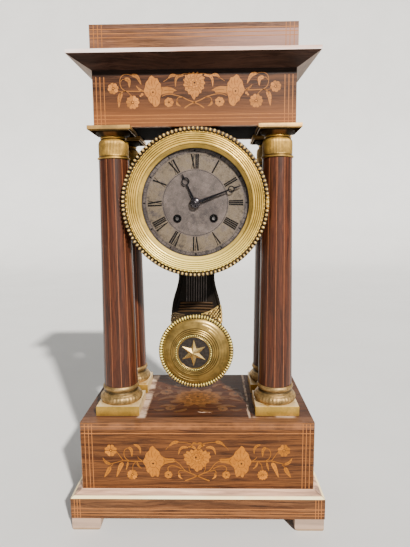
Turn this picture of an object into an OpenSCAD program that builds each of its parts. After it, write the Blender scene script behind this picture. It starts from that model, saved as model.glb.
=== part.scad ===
// Four-column pendulum clock: wooden case with a plinth, a base box, four turned
// columns, a frieze with a flared cornice, a drum movement under the frieze and a
// lyre pendulum that swings between the columns.
// Origin: bottom centre. +X right, +Z up, the dial looks along -Y.

/* [Plinth and base] */
// Height of the corner feet
foot_h = 13; // [11:0.5:13]
// Side of a corner foot
foot_w = 29.5; // [24:0.5:34]
// Width of the plinth
plinth_w = 258; // [254:1:262]
// Depth of the plinth
plinth_d = 158; // [154:1:162]
// Width of the base box
base_w = 238; // [234:1:240]
// Depth of the base box
base_d = 138; // [134:1:140]
// Height of the top of the base box
base_top = 111; // [111:1:111]
// Thickness of the base boards
board_t = 9; // [7:0.5:10]

/* [Columns] */
// Distance of the column axes from the middle, across
col_x = 83.5; // [83:0.5:84]
// Distance of the column axes from the middle, front to back
col_y = 30.6; // [30:0.2:31]
// Radius of a shaft at its foot
shaft_r1 = 17.95; // [17.5:0.05:18]
// Radius of a shaft at its head
shaft_r2 = 15.1; // [15:0.05:15.5]
// Height of the foot of the shaft
shaft_z1 = 139.5; // [139.5:0.5:139.5]
// Height of the head of the shaft
shaft_z2 = 376; // [376:0.5:376]
// Half the side of the square brass plinth of a column
cbase_w = 22.7; // [22:0.1:23]
// Half the side of the square abacus of a capital
abacus_w = 21.1; // [20.5:0.1:21.5]

/* [Entablature] */
// Height of the underside of the frieze
frieze_z1 = 407; // [407:0.1:407]
// Height of the top of the frieze
frieze_z2 = 461; // [461:0.5:461]
// Width of the frieze
frieze_w = 200.7; // [200:0.1:201]
// Depth of the frieze
frieze_d = 81.2; // [81:0.1:82]
// Overhang of the cornice
cornice_out = 19.6; // [17:0.1:21]
// Height of the cornice's top face
cornice_top = 474.3; // [474.3:0.1:474.3]
// How far the cornice's flat back lies behind the middle
cornice_back = 42.5; // [41:0.5:60]
// Angle by which each side of the cornice runs inwards
cornice_in = 2.3; // [0:0.1:3]
// Width of the attic block
attic_w = 202.4; // [200:0.1:204]
// Depth of the attic block
attic_d = 85; // [83:0.5:87]
// Height of the whole clock
total_h = 502.6; // [500:0.1:505]

/* [Clock head] */
// Height of the dial's centre
dial_z = 331.5; // [331.5:0.5:331.5]
// Outer radius of the beaded bezel
bezel_r = 73.8; // [73.4:0.1:74]
// Radius of the bezel's opening
bezel_in = 53.6; // [53:0.1:54]
// Outer radius of the movement drum
drum_r = 58; // [58:0.1:58]
// Where the drum's back edge lies
drum_back = 42; // [42:0.5:42]

/* [Pendulum] */
// Degrees the pendulum stands to the left of plumb
swing_a = 1; // [0:0.5:2]
// Depth plane in which the pendulum swings
pend_y = 20; // [20:0.5:20]
// Height of the suspension axis above the dial's centre
susp_z = 30; // [30:0.5:30]
// Height of the bob's centre
bob_z = 158.6; // [158:0.2:160]
// Radius of the bob with its beaded rim
bob_r = 45; // [42:0.2:46]

/* [Hidden] */

// joint play between separate boards
gap = 0.12;
// running clearance of a pivot in its hole
run = 0.05;

// colours
c_wood = [0.45, 0.24, 0.13];
c_pale = [0.80, 0.74, 0.66];
c_oak = [0.62, 0.48, 0.32];
c_brass = [0.78, 0.62, 0.30];
c_gilt = [0.85, 0.70, 0.36];
c_steel = [0.55, 0.56, 0.60];
c_blue = [0.10, 0.13, 0.25];
c_silver = [0.66, 0.62, 0.56];

// places in the movement, from the dial's centre: [across, up]
p_bar = [18.5, -15.6];
p_int = [15.5, 4.7];
p_ctr = [0, 0];
p_thd = [-10.5, 10.09];
p_esc = [0, 16.5];
p_anc = [0, susp_z];
p_min = [7.13, 7.13];
p_sba = [-18.5, -15.6];
p_pin = [-29, 2];
p_fly = [-36.713, 11.193];
p_ham = [-24, 24];
p_bel = [14, -6];
pillars = [[26, 28], [-22, 31], [0, -37.5], [38, 0], [-38.3, -8.5]];

// depth planes of the movement
y_f1 = -30; y_f2 = -28; y_b1 = 6; y_b2 = 8;

function dir(a, b) = atan2(b[1] - a[1], b[0] - a[0]);

// hand angles from twelve, clockwise, at ten to and twelve past
hour_a = -24;
min_a = 70;

// ---------- helpers ----------
// puts a flat drawing (x across, y up) upright, from depth y0 forward to y0 - h
module up(p, y0, h) translate([p[0], y0, dial_z + p[1]]) rotate([90, 0, 0]) linear_extrude(h) children();
// round bar along the depth axis from y0 to y1
module bar(p, y0, y1, r, n = 32) translate([p[0], y1, dial_z + p[1]]) rotate([90, 0, 0]) cylinder(r = r, h = y1 - y0, $fn = n);
// bar whose section is turned about its own axis; profile holds [radius, forward distance] from depth y0
module lathe(p, y0, n = 96) translate([p[0], y0, dial_z + p[1]]) rotate([90, 0, 0]) rotate_extrude($fn = n) children();

// gear outline with z teeth of module m; one tooth is centred on angle ph
module gear2d(z, m, ph, tw = 0.40, add = 0.80, ded = 1.10) {
  r = z * m / 2;
  hw = tw * 180 / z;
  polygon([for (i = [0 : z - 1]) for (k = [0 : 3])
    let (a = ph + i * 360 / z,
         rr = (k == 0 || k == 3) ? r - ded * m : r + add * m,
         w = (k == 0 || k == 3) ? hw * 1.25 : hw * 0.52,
         s = (k < 2) ? -1 : 1)
    [rr * cos(a + s * w), rr * sin(a + s * w)]]);
}

// wheel with crossings cut out between n straight spokes
module wheel2d(z, m, ph, n = 5, hub = 3, rim = 1.6, spoke = 1.1) {
  r = z * m / 2 - 1.1 * m - rim;
  difference() {
    gear2d(z, m, ph);
    for (i = [0 : n - 1]) rotate(i * 360 / n) polygon([
      [hub * cos(18), hub * sin(18) + spoke / 2], [r * cos(8), r * sin(8) + spoke / 2],
      [r * cos(180 / n), r * sin(180 / n)],
      [r * cos(360 / n - 8), r * sin(360 / n - 8) - spoke / 4],
      [hub * cos(360 / n - 14), hub * sin(360 / n - 14)],
      [hub * 1.05 * cos(180 / n), hub * 1.05 * sin(180 / n)]]);
  }
}

// mitred frame of four mouldings round a rectangle of half sizes a, b;
// children draw the section: x outward from the rectangle, y up
module mitred(a, b) {
  for (k = [0 : 3]) {
    l = (k % 2 == 0) ? a : b;
    d = (k % 2 == 0) ? b : a;
    rotate(k * 90) intersection() {
      translate([-300, -d, 0]) rotate([90, 0, 90]) mirror([1, 0, 0]) linear_extrude(600) children();
      translate([0, 0, -1]) linear_extrude(700)
        polygon([[-(l - d) + gap / 2, 0], [(l - d) - gap / 2, 0], [(l - d) + 300 - gap / 2, -300], [-(l - d) - 300 + gap / 2, -300]]);
    }
  }
}

// ---------- plinth and base ----------
module feet() color(c_pale)
  for (sx = [-1, 1], sy = [-1, 1]) scale([sx, sy, 1])
    translate([plinth_w / 2 - foot_w - 0.6, plinth_d / 2 - 0.6, 0]) rotate([90, 0, 0]) linear_extrude(foot_w)
      polygon([[3, 0], [foot_w - 1.2, 0], [foot_w, 1.4], [foot_w, foot_h], [0, foot_h], [0, 3], [0.9, 0.9]]);

module plinth_rails() color(c_wood)
  mitred(base_w / 2, base_d / 2) polygon([
    [(plinth_w - base_w) / 2, foot_h], [(plinth_w - base_w) / 2, 34.4], [(plinth_w - base_w) / 2 - 2.6, 36.4],
    [0.05, 39.5], [0.05, 37], [-16, 37], [-16, foot_h]]);

module bottom_board() color(c_oak) difference() {
  translate([-base_w / 2 + 16.3, -base_d / 2 + 16.3, foot_h + 2]) cube([base_w - 32.6, base_d - 32.6, 7]);
}

module base_front_panel() color(c_wood)
  translate([-base_w / 2, -base_d / 2, 37]) cube([base_w, board_t, base_top - 7.5 - 37]);
module base_back_panel() color(c_wood)
  translate([-base_w / 2, base_d / 2 - board_t, 37]) cube([base_w, board_t, base_top - 7.5 - 37]);
module base_side_panels() color(c_wood)
  for (s = [-1, 1]) translate([s * (base_w - board_t) / 2 - board_t / 2, -base_d / 2 + board_t + gap / 2, 37])
    cube([board_t, base_d - 2 * board_t - gap, base_top - 7.5 - 37]);
module base_top_panel() color(c_wood) difference() {
  translate([-base_w / 2, -base_d / 2, base_top - 7.5]) cube([base_w, base_d, 7.5]);
  for (sx = [-1, 1], sy = [-1, 1]) translate([sx * col_x, sy * col_y, base_top - 9]) cylinder(r = 2.5, h = 12, $fn = 32);
}

// ---------- columns ----------
module each_column() for (sx = [-1, 1], sy = [-1, 1]) translate([sx * col_x, sy * col_y, 0]) children();

module column_bases() color(c_brass) each_column() difference() {
  union() {
    translate([-cbase_w, -cbase_w, base_top]) cube([2 * cbase_w, 2 * cbase_w, 10.2]);
    rotate_extrude($fn = 72) polygon([[10, base_top + 5], [20.4, base_top + 5], [20.4, base_top + 10.8], [21.3, base_top + 11.5],
      [22.2, base_top + 13.2], [22.4, base_top + 14.6], [22.0, base_top + 16.2], [21.0, base_top + 17.8], [19.9, base_top + 18.6],
      [19.7, base_top + 19.4], [19.2, base_top + 19.9], [17.9, base_top + 20.9], [17.5, base_top + 22.2], [17.9, base_top + 23.6],
      [18.7, base_top + 24.4], [19.2, base_top + 25.0], [19.3, base_top + 26.4], [19.0, base_top + 27.6], [18.5, base_top + 28.1],
      [18.5, shaft_z1], [10, shaft_z1]]);
  }
  translate([0, 0, base_top - 1]) cylinder(r = 16.5, h = 40, $fn = 64);
}

module shaft(sx, sy) color(c_wood) translate([sx * col_x, sy * col_y, 0]) difference() {
  union() {
    translate([0, 0, base_top + 0.05]) cylinder(r = 16.4, h = shaft_z1 - base_top, $fn = 64);
    translate([0, 0, shaft_z1]) cylinder(r1 = shaft_r1, r2 = shaft_r2, h = shaft_z2 - shaft_z1, $fn = 96);
    translate([0, 0, shaft_z2 - 0.5]) cylinder(r = 9.9, h = frieze_z1 - 0.05 - shaft_z2 + 0.5, $fn = 48);
  }
  translate([0, 0, base_top - 1]) cylinder(r = 2.5, h = 320, $fn = 32);
}
module column_front_left() shaft(-1, -1);
module column_front_right() shaft(1, -1);
module column_rear_left() shaft(-1, 1);
module column_rear_right() shaft(1, 1);

module column_capitals() color(c_brass) each_column() difference() {
  union() {
    rotate_extrude($fn = 72) polygon([[8, shaft_z2 + 0.05], [16.0, shaft_z2 + 0.05], [16.7, 376.8], [16.7, 378.0], [16.1, 378.9], [15.1, 379.5],
      [14.7, 380.6], [14.8, 390.2], [14.4, 392.4], [13.4, 394.2], [12.2, 395.4], [11.8, 396.0], [13.0, 396.5], [13.2, 397.3],
      [12.8, 398.0], [12.6, 398.6], [14.0, 399.4], [15.6, 400.4], [16.8, 401.6], [17.2, 402.25], [8, 402.25]]);
    translate([-abacus_w, -abacus_w, 402.3]) cube([2 * abacus_w, 2 * abacus_w, frieze_z1 - 402.3]);
  }
  translate([0, 0, shaft_z2 - 1]) cylinder(r = 10, h = 40, $fn = 48);
}

module tie_rods() color(c_steel) each_column() translate([0, 0, 97]) cylinder(r = 2.2, h = frieze_z1 - 81.8, $fn = 32);
module tie_rod_nuts() color(c_steel) each_column() {
  for (z = [base_top - 7.5 - 4.1, frieze_z1 + 9.1]) translate([0, 0, z]) difference() {
    cylinder(r = 4.6, h = 4, $fn = 6);
    translate([0, 0, -1]) cylinder(r = 2.22, h = 6, $fn = 32);
  }
}

// ---------- entablature ----------
f_t = 5.6;
module frieze_front_panel() color(c_wood) translate([-frieze_w / 2, -frieze_d / 2, frieze_z1]) cube([frieze_w, f_t, frieze_z2 - frieze_z1]);
module frieze_back_panel() color(c_wood) translate([-frieze_w / 2, frieze_d / 2 - f_t, frieze_z1]) cube([frieze_w, f_t, frieze_z2 - frieze_z1]);
module frieze_side_panels() color(c_wood) for (s = [-1, 1])
  translate([s * (frieze_w - f_t) / 2 - f_t / 2, -frieze_d / 2 + f_t + gap / 2, frieze_z1]) cube([f_t, frieze_d - 2 * f_t - gap, frieze_z2 - frieze_z1]);
module soffit_board() color(c_oak) difference() {
  translate([-frieze_w / 2 + f_t + gap, -frieze_d / 2 + f_t + gap, frieze_z1]) cube([frieze_w - 2 * f_t - 2 * gap, frieze_d - 2 * f_t - 2 * gap, 9]);
  each_column() translate([0, 0, frieze_z1 - 1]) cylinder(r = 2.5, h = 12, $fn = 32);
}
// The cornice flares to the front and to both sides, mitred at the front corners. Its back is flat against
// the wall, and its sides run a little towards each other at the back.
cnx = frieze_w / 2 + cornice_out;
cny = frieze_d / 2 + cornice_out;
cn_run = cornice_out - 0.3;
module cornice_moulding() color(c_wood) {
  intersection() {
    translate([-cnx - 60, -cny, 0]) rotate([90, 0, 90]) linear_extrude(2 * cnx + 120)
      polygon([[0, cornice_top], [0, cornice_top - 3.5], [cn_run, frieze_z2 + 0.02], [32.6, frieze_z2 + 0.02], [32.6, cornice_top]]);
    translate([0, 0, frieze_z2 - 5]) linear_extrude(30)
      polygon([[-cnx - 40 + gap, -cny - 40], [cnx + 40 - gap, -cny - 40], [cnx - 40 - gap, -cny + 40], [-cnx + 40 + gap, -cny + 40]]);
  }
  for (s = [0, 1]) mirror([s, 0, 0]) intersection() {
    translate([-cnx, -cny, 0]) rotate([0, 0, -cornice_in]) translate([0, 150, 0]) rotate([90, 0, 0]) linear_extrude(200)
      polygon([[0, cornice_top], [0, cornice_top - 3.5], [cn_run * (cos(cornice_in) - sin(cornice_in)), frieze_z2 + 0.02], [32.6, frieze_z2 + 0.02], [32.6, cornice_top]]);
    translate([0, 0, frieze_z2 - 5]) linear_extrude(30)
      polygon([[-cnx - 40, -cny - 40], [-cnx + 60, -cny + 60], [-cnx + 60, cornice_back], [-cnx - 40, cornice_back]]);
  }
  translate([-82.4, cornice_back - 13, frieze_z2 + 0.02]) cube([164.8, 13, cornice_top - frieze_z2 - 0.02]);
}
module attic_rails() color(c_wood)
  mitred(attic_w / 2, attic_d / 2) polygon([[-9, cornice_top], [0, cornice_top], [0, total_h - 6], [-9, total_h - 6]]);
module attic_top_board() color(c_wood) translate([-attic_w / 2, -attic_d / 2, total_h - 6]) cube([attic_w, attic_d, 6]);

// ---------- clock head ----------
bz = -46.6; // back plane of the bezel
hinge = [72.3, -47.9]; // bezel hinge axis behind the beads: across, depth
rhinge = [-60.6, 43.2]; // rear door hinge axis

module movement_drum() color(c_brass) {
  difference() {
    union() {
      bar([0, 0], -44.9, drum_back, drum_r, 128);
      for (s = [-1, 1]) translate([-61.4, 34, dial_z + s * 5.1 - 1.8]) cube([5, drum_back - 34, 3.6]);
      for (s = [-1, 1]) translate([rhinge[0], rhinge[1], dial_z + s * 5.1 - 1.8]) cylinder(r = 1.5, h = 3.6, $fn = 32);
    }
    bar([0, 0], -50, 50, drum_r - 1, 128);
    translate([-11, 12, dial_z - drum_r - 2]) cube([22, 16, 12]);
    translate([rhinge[0], rhinge[1], dial_z - 9]) cylinder(r = 0.8, h = 18, $fn = 24);
  }
}
module drum_saddle() color(c_oak) difference() {
  translate([-24, -30, dial_z + 50]) cube([48, 60, frieze_z1 - dial_z - 50]);
  bar([0, 0], -40, 40, drum_r + 0.05, 128);
}
module drum_front_ring() color(c_brass) difference() {
  union() {
    bar([0, 0], bz + 0.2, -44.9, 68, 128);
    for (s = [-1, 1]) translate([65, bz + 0.2, dial_z + s * 5.1 - 1.8]) cube([8, 1.2, 3.6]);
    for (s = [-1, 1]) translate([hinge[0] - 0.7, hinge[1], dial_z + s * 5.1 - 1.8]) cube([1.4, 2, 3.6]);
    for (s = [-1, 1]) translate([hinge[0], hinge[1], dial_z + s * 5.1 - 1.8]) cylinder(r = 1.3, h = 3.6, $fn = 32);
  }
  bar([0, 0], -50, -40, drum_r - 1, 128);
  translate([hinge[0], hinge[1], dial_z - 9]) cylinder(r = 0.7, h = 18, $fn = 24);
}
module bezel_ring() color(c_gilt) difference() {
  union() {
    difference() {
    // rim, ridges, a lip before the glass, and a sight ring that slopes back to the dial
    lathe([0, 0], bz, 144) polygon([[57.0, 0], [bezel_r - 0.8, 0], [bezel_r, 1.0], [bezel_r, 5.0], [72.9, 6.1], [71.2, 6.2], [69.7, 5.2], [69.5, 3.7],
      [68.9, 3.7], [68.7, 5.6], [67.8, 6.4], [66.7, 6.3], [65.8, 7.2], [64.0, 7.4], [63.1, 6.6], [62.2, 6.9], [60.6, 6.3], [59.6, 5.6], [58.6, 5.9],
      [57.2, 5.3], [56.7, 4.95], [56.6, 4.6], [57.7, 4.6], [57.7, 3.0], [56.9, 2.6], [55.6, 0.8], [54.4, -1.2], [bezel_in, -2.4], [bezel_in, -2.9],
      [54.5, -2.9], [55.3, -1.4], [56.2, -0.2]]);
    translate([70.8, -49.4, dial_z - 7.4]) cube([6, 6, 14.8]);
    }
    translate([hinge[0], hinge[1], dial_z - 3]) cylinder(r = 1.3, h = 6, $fn = 32);
    translate([70.3, hinge[1] - 1.8, dial_z - 3]) cube([2, 1.2, 6]);
  }
  translate([hinge[0], hinge[1], dial_z - 4]) cylinder(r = 0.7 + run, h = 8, $fn = 24);
}
module bezel_glass() color([0.85, 0.9, 0.9, 0.3]) bar([0, 0], bz - 4.55, bz - 3.05, 57.6, 128);
module bezel_hinge_pin() color(c_steel) translate([hinge[0], hinge[1], dial_z - 7]) cylinder(r = 0.7, h = 14, $fn = 24);

module dial_plate() color(c_silver) {
  difference() {
    bar([0, 0], -42.5, -41.3, 56.4, 128);
    bar([0, 0], -44, -40, 3.4, 32);
    for (s = [-1, 1]) bar([s * p_bar[0], p_bar[1]], -44, -40, 3.8, 32);
  }
  for (a = [90, 210, 330]) bar([36 * cos(a), 36 * sin(a)], -41.3, y_f1, 1.3, 24);
}

// hand with its back at depth y, pointing a degrees clockwise, with a ring near its tip
module hand(y, a, rc, ro, ri, tip, w0, w1, hub, bore) difference() {
  union() {
    up([0, 0], y, 0.8) circle(r = hub, $fn = 48);
    up([0, 0], y, 0.8) rotate(-a) polygon([[-w0, 0], [-w1, rc - ro + 0.6], [w1, rc - ro + 0.6], [w0, 0]]);
    up([0, 0], y, 0.8) rotate(-a) translate([0, rc]) circle(r = ro, $fn = 40);
    up([0, 0], y, 0.8) rotate(-a) polygon([[-1.0, rc + ro - 0.5], [-0.4, tip - 2.6], [0, tip], [0.4, tip - 2.6], [1.0, rc + ro - 0.5]]);
  }
  up([0, 0], y + 1, 3) rotate(-a) translate([0, rc - ro + ri + (ro - ri) * 0.9]) circle(r = ri, $fn = 32);
  up([0, 0], y + 1, 3) circle(r = bore, $fn = 32);
}
module hour_hand() color(c_blue) hand(-44.0, hour_a, 23.4, 4.0, 2.9, 32.5, 1.3, 0.65, 5.0, 2.6);
module minute_hand() color(c_blue) hand(-46.1, min_a, 38.4, 3.4, 2.3, 50.2, 1.45, 0.7, 4.0, 1.75);
module hand_collet() color(c_blue) lathe([0, 0], -46.92, 48)
  polygon([[0, 0], [5.3, 0], [5.4, 0.3], [5.0, 0.9], [3.9, 1.6], [2.2, 2.1], [0.6, 2.3], [0, 2.3]]);

module rear_door() color(c_brass) difference() {
  union() {
    difference() {
      bar([0, 0], 42.2, 44.6, 58, 128);
      bar([0, 0], 41, 43.4, 55.8, 128);
    }
    bar([51.5, 0], 42.6, 50, 2.4, 32);
    translate([-60.6, rhinge[1] - 0.6, dial_z - 3]) cube([4, 1.2, 6]);
    translate([rhinge[0], rhinge[1], dial_z - 3]) cylinder(r = 1.5, h = 6, $fn = 32);
  }
  translate([rhinge[0], rhinge[1], dial_z - 9]) cylinder(r = 0.8 + run, h = 18, $fn = 24);
}
module rear_hinge_pin() color(c_steel) translate([rhinge[0], rhinge[1], dial_z - 7.4]) cylinder(r = 0.8, h = 14.8, $fn = 24);

// ---------- movement ----------
// pivot holes: [place, radius in the front plate, radius in the back plate]
holes = [[p_bar, 2, 2], [p_sba, 2, 2], [p_int, 0.6, 0.6], [p_ctr, 1.3, 0.6], [p_thd, 0.5, 0.5], [p_esc, 0.5, 0.5],
  [p_anc, 0.8, 0.8], [p_pin, 0.6, 0.6], [p_fly, 0.5, 0.5], [p_ham, 1.0, 1.0]];

module front_plate() color(c_brass) {
  difference() {
    union() {
      bar([0, 0], y_f1, y_f2, 42, 96);
      intersection() {
        bar([0, 0], y_f1, y_f2, drum_r - 1.05, 96);
        for (a = [60, 180, 300]) up([0, 0], y_f2, 2) rotate(a) translate([0, -4]) square([60, 8]);
      }
    }
    for (h = holes) bar(h[0], -32, -26, h[1] + run, 24);
  }
  bar(p_min, -36.3, y_f1, 0.8, 24);
}
module back_plate() color(c_brass) difference() {
  bar([0, 0], y_b1, y_b2, 42, 96);
  for (h = holes) bar(h[0], 4, 10, h[2] + run, 24);
}
module plate_pillars() color(c_brass) for (p = pillars) bar(p, y_f2, y_b1, 2, 32);

// arbor with a thin pivot at each end; a..b is the thick part between the plates
module arbor(p, r, pr, a = -27.7, b = 5.7) {
  bar(p, a, b, r, 24);
  bar(p, -29.8, a + 0.1, pr, 24);
  bar(p, b - 0.1, 7.8, pr, 24);
}

module barrel(p, ph) color(c_brass) {
  difference() {
    union() {
      bar(p, -26.5, -9, 15.6, 72);
      up(p, -9, 2.5) gear2d(64, 0.54, ph);
    }
    bar(p, -25.5, -10, 14.6, 72);
    bar(p, -28, -7, 2 + run, 24);
  }
  // the wound mainspring, as one ring
  color(c_steel) difference() {
    bar(p, -25.2, -10.4, 13.6, 48);
    bar(p, -27, -9, 5, 48);
  }
}
module going_barrel() barrel(p_bar, dir(p_bar, p_int));
module strike_barrel() barrel(p_sba, dir(p_sba, p_pin));

module ratchet2d(n, r, d) polygon([for (i = [0 : n - 1]) for (k = [0 : 1])
  let (a = i * 360 / n + k * 14) [(r - k * d) * cos(a), (r - k * d) * sin(a)]]);
module winding_arbor(p) color(c_steel) {
  bar(p, -31, 7.9, 2, 32);
  up(p, -30.3, 10.2) square([3.1, 3.1], center = true);
  up(p, -30.3, 1.3) ratchet2d(20, 6.8, 0.9);
}
module going_winding_arbor() winding_arbor(p_bar);
module strike_winding_arbor() winding_arbor(p_sba);

module intermediate_wheel() color(c_brass) {
  arbor(p_int, 1.0, 0.6);
  up(p_int, -8, 5) gear2d(12, 0.54, dir(p_int, p_bar) + 15);
  up(p_int, -5.3, 1.2) wheel2d(60, 0.45, dir(p_int, p_ctr), 5, 3.4);
}
module centre_wheel() color(c_brass) {
  bar(p_ctr, -30, 5.7, 1.3, 24);
  bar(p_ctr, -46.6, -29.9, 1.0, 24);
  bar(p_ctr, 5.6, 7.8, 0.6, 24);
  up(p_ctr, -4, 4) gear2d(12, 0.45, dir(p_ctr, p_int) + 15);
  up(p_ctr, -1.2, 1.2) wheel2d(84, 0.32, dir(p_ctr, p_thd), 5, 3.2);
}
module third_wheel() color(c_brass) {
  arbor(p_thd, 0.7, 0.5);
  up(p_thd, 0, 4) gear2d(7, 0.32, dir(p_thd, p_ctr) + 180 / 7, 0.36, 0.7);
  up(p_thd, 3.2, 1.2) wheel2d(78, 0.29, dir(p_thd, p_esc), 5, 2.6);
}
module escape_wheel() color(c_brass) {
  arbor(p_esc, 0.62, 0.5);
  up(p_esc, 4.4, 3.4) gear2d(7, 0.29, dir(p_esc, p_thd) + 180 / 7, 0.36, 0.7);
  up(p_esc, -15, 1) difference() {
    polygon([for (i = [0 : 29]) for (k = [0 : 3])
      let (a = i * 12, rr = [8.0, 9.5, 9.5, 8.0][k], w = [-1.6, 1.2, 1.9, 3.0][k]) [rr * cos(a + w), rr * sin(a + w)]]);
    for (i = [0 : 3]) rotate(i * 90) polygon([[2.2, 0.8], [6.4, 1.2], [4.6, 4.6], [1.2, 6.4], [0.8, 2.2]]);
  }
}
// pallets, arbor and crutch; the crutch's two fingers hold the pendulum rod
module anchor() color(c_steel) {
  bar(p_anc, -29.8, 15.6, 0.8, 24);
  up(p_anc, -15, 1.2) difference() {
    union() {
      circle(r = 2.2, $fn = 32);
      for (s = [-1, 1]) polygon([[-1.4 * s, 1.6], [s * 9.6, -4.6], [s * 8.4, -6.6], [s * 7.5, -5.9], [s * 7.4, -5.0], [0, -2.0]]);
    }
    circle(r = 0.8, $fn = 24);
  }
  up(p_anc, 15.6, 1.4) polygon([[-1.9, 1.6], [1.9, 1.6], [1.1, -30], [3.4, -43], [2.2, -43.6], [0, -34], [-2.2, -43.6], [-3.4, -43], [-1.1, -30]]);
  for (s = [-1, 1]) bar([s * 2.7, -13], 14.3, 23, 0.7, 24);
}
module cannon_pinion() color(c_brass) difference() {
  union() {
    bar(p_ctr, -46.9, -30.4, 1.75, 32);
    up(p_ctr, -32.2, 1.2) gear2d(14, 0.36, 45, 0.36);
  }
  bar(p_ctr, -48, -29, 1.0 + run, 24);
}
module minute_wheel() color(c_brass) difference() {
  union() {
    bar(p_min, -35.9, -30.4, 1.5, 24);
    up(p_min, -32.2, 1.2) gear2d(42, 0.36, 225 + 180 / 42, 0.38);
    up(p_min, -33.3, 2.6) gear2d(12, 0.336, 225, 0.36);
  }
  bar(p_min, -37, -29, 0.8 + run, 24);
}
module hour_wheel() color(c_brass) difference() {
  union() {
    bar(p_ctr, -44.8, -34.4, 2.6, 32);
    up(p_ctr, -34.4, 1.2) gear2d(48, 0.336, 45 + 180 / 48, 0.38);
  }
  bar(p_ctr, -48, -29, 1.75 + run, 32);
}
module pin_wheel() color(c_brass) {
  arbor(p_pin, 1.0, 0.6);
  up(p_pin, -8, 5) gear2d(12, 0.54, dir(p_pin, p_sba) + 15);
  up(p_pin, -5.3, 1.2) wheel2d(50, 0.4, dir(p_pin, p_fly), 5, 3.2, 2.6);
  for (i = [0 : 9]) bar([p_pin[0] + 7.6 * cos(i * 36 + 9), p_pin[1] + 7.6 * sin(i * 36 + 9)], -8.3, -6.4, 0.45, 16);
}
module fly() color(c_brass) {
  arbor(p_fly, 0.62, 0.5);
  up(p_fly, -4.4, 3) gear2d(10, 0.4, dir(p_fly, p_pin) + 18, 0.36);
  up(p_fly, -12, 13) square([12.4, 0.7], center = true);
}
module hammer() color(c_steel) {
  bar(p_ham, -29.8, 32, 1.0, 24);
  up(p_ham, -7, 1.2) polygon([[-1.5, 1.5], [1.5, 1.5], [1.0, -2], [-1.7, -11.3], [-3.0, -11.3], [-2.0, -2]]);
  up(p_ham, 31, 1.6) polygon([[-1.3, 1.5], [1.3, 1.5], [4.6, -28], [3.0, -28]]);
  bar([p_ham[0] + 3.8, p_ham[1] - 28], 25, 32.4, 3.2, 40);
}
module bell() color(c_steel) difference() {
  lathe(p_bel, 37, 96) polygon(concat([for (i = [0 : 8]) let (a = i * 10) [30 * sin(a), 13 - 13 * cos(a)]], [[30, 13]],
    [[28.6, 13]], [for (i = [8 : -1 : 0]) let (a = i * 10) [28.6 * sin(a), 13 - 11.6 * cos(a)]]));
  bar(p_bel, 30, 40, 1.65, 24);
}
module bell_stand() color(c_brass) {
  bar(p_bel, y_b2, 39.6, 1.6, 24);
  bar(p_bel, 37.05, 39.6, 3.6, 6);
  bar(p_bel, y_b2, 10, 3.4, 24);
}

// ---------- pendulum ----------
// the pendulum and its crutch stand a little to the left of plumb
module swung() translate([0, 0, dial_z + 30]) rotate([0, swing_a, 0]) translate([0, 0, -dial_z - 30]) children();
module pendulum_cock() color(c_brass) {
  translate([-4, y_b2, dial_z + 33.6]) cube([8, 16, 4.4]);
  translate([-4, 17.6, dial_z + 30.6]) cube([8, 6.4, 3.2]);
}
module suspension_silk() color([0.75, 0.68, 0.5]) for (s = [-1, 1])
  translate([s * 0.9, pend_y, dial_z + 16.2]) cylinder(r = 0.3, h = 14.2, $fn = 16);
module pendulum_rod() color(c_steel) {
  translate([0, pend_y, 266]) cylinder(r = 1.3, h = dial_z + 14.6 - 266, $fn = 32);
  translate([-3, pend_y, dial_z + 14.6]) rotate([0, 90, 0]) cylinder(r = 1.6, h = 6, $fn = 24);
}
// half outline of the lyre, from the middle of the top to the middle of the foot
lyre_out = [[3.4, 266], [4, 261], [5, 259], [12, 258], [16, 261], [20.5, 261], [22.5, 257.5], [21.4, 254], [21.0, 248], [22.0, 240], [24.0, 232],
  [26.4, 224], [28.4, 216], [29.3, 209], [29.6, 203], [29.2, 200], [28, 198.8], [26.6, 199.4], [24, 198], [16, 197]];
module lyre() color(c_brass) {
  difference() {
    translate([0, pend_y + 1.5, 0]) rotate([90, 0, 0]) linear_extrude(1.2)
      polygon(concat([for (p = lyre_out) [p[0], p[1]]], [for (i = [len(lyre_out) - 1 : -1 : 0]) [-lyre_out[i][0], lyre_out[i][1]]]));
    translate([0, pend_y + 2, bob_z]) rotate([90, 0, 0]) cylinder(r = bob_r + 0.02, h = 4, $fn = 96);
  }
  for (i = [-4 : 4]) translate([i * 3.05 - 0.45, pend_y - 0.6, 228]) cube([0.9, 1.0, 28]);
  for (z = [219.5, 224, 256.2]) translate([-16, pend_y - 1.4, z]) cube([32, 1.8, 2.6]);
}
module bob_shell() color(c_gilt) translate([0, pend_y, bob_z]) rotate([90, 0, 0]) rotate_extrude($fn = 120)
  polygon([for (p = [[0, -6], [20, -5.4], [38, -3], [41.4, -1.4], [42.8, -1], [43, 0.6], [42.6, 2.2], [41.4, 3.2], [39.8, 2.8], [38.9, 1.6], [38.2, 1.7],
    [37.4, 3.0], [36.0, 3.8], [33.0, 4.4], [31.0, 5.2], [29.0, 6.1], [27.0, 7.0], [25.0, 7.9], [23.5, 8.4], [22.4, 8.7], [21.2, 9.2],
    [20.2, 9.8], [19.2, 9.8], [18.6, 9.4], [18.2, 8.9], [0, 9.0]]) [p[0] * bob_r / 43, p[1]]]);
module bob_star() color(c_gilt) translate([0, pend_y - 9.0, bob_z]) rotate([90, 0, 0]) linear_extrude(2.2)
  polygon([for (i = [0 : 11]) let (r = ((i % 2 == 0) ? 14.6 : 6.1) * bob_r / 43) [r * sin(i * 30), r * cos(i * 30)]]);

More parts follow.
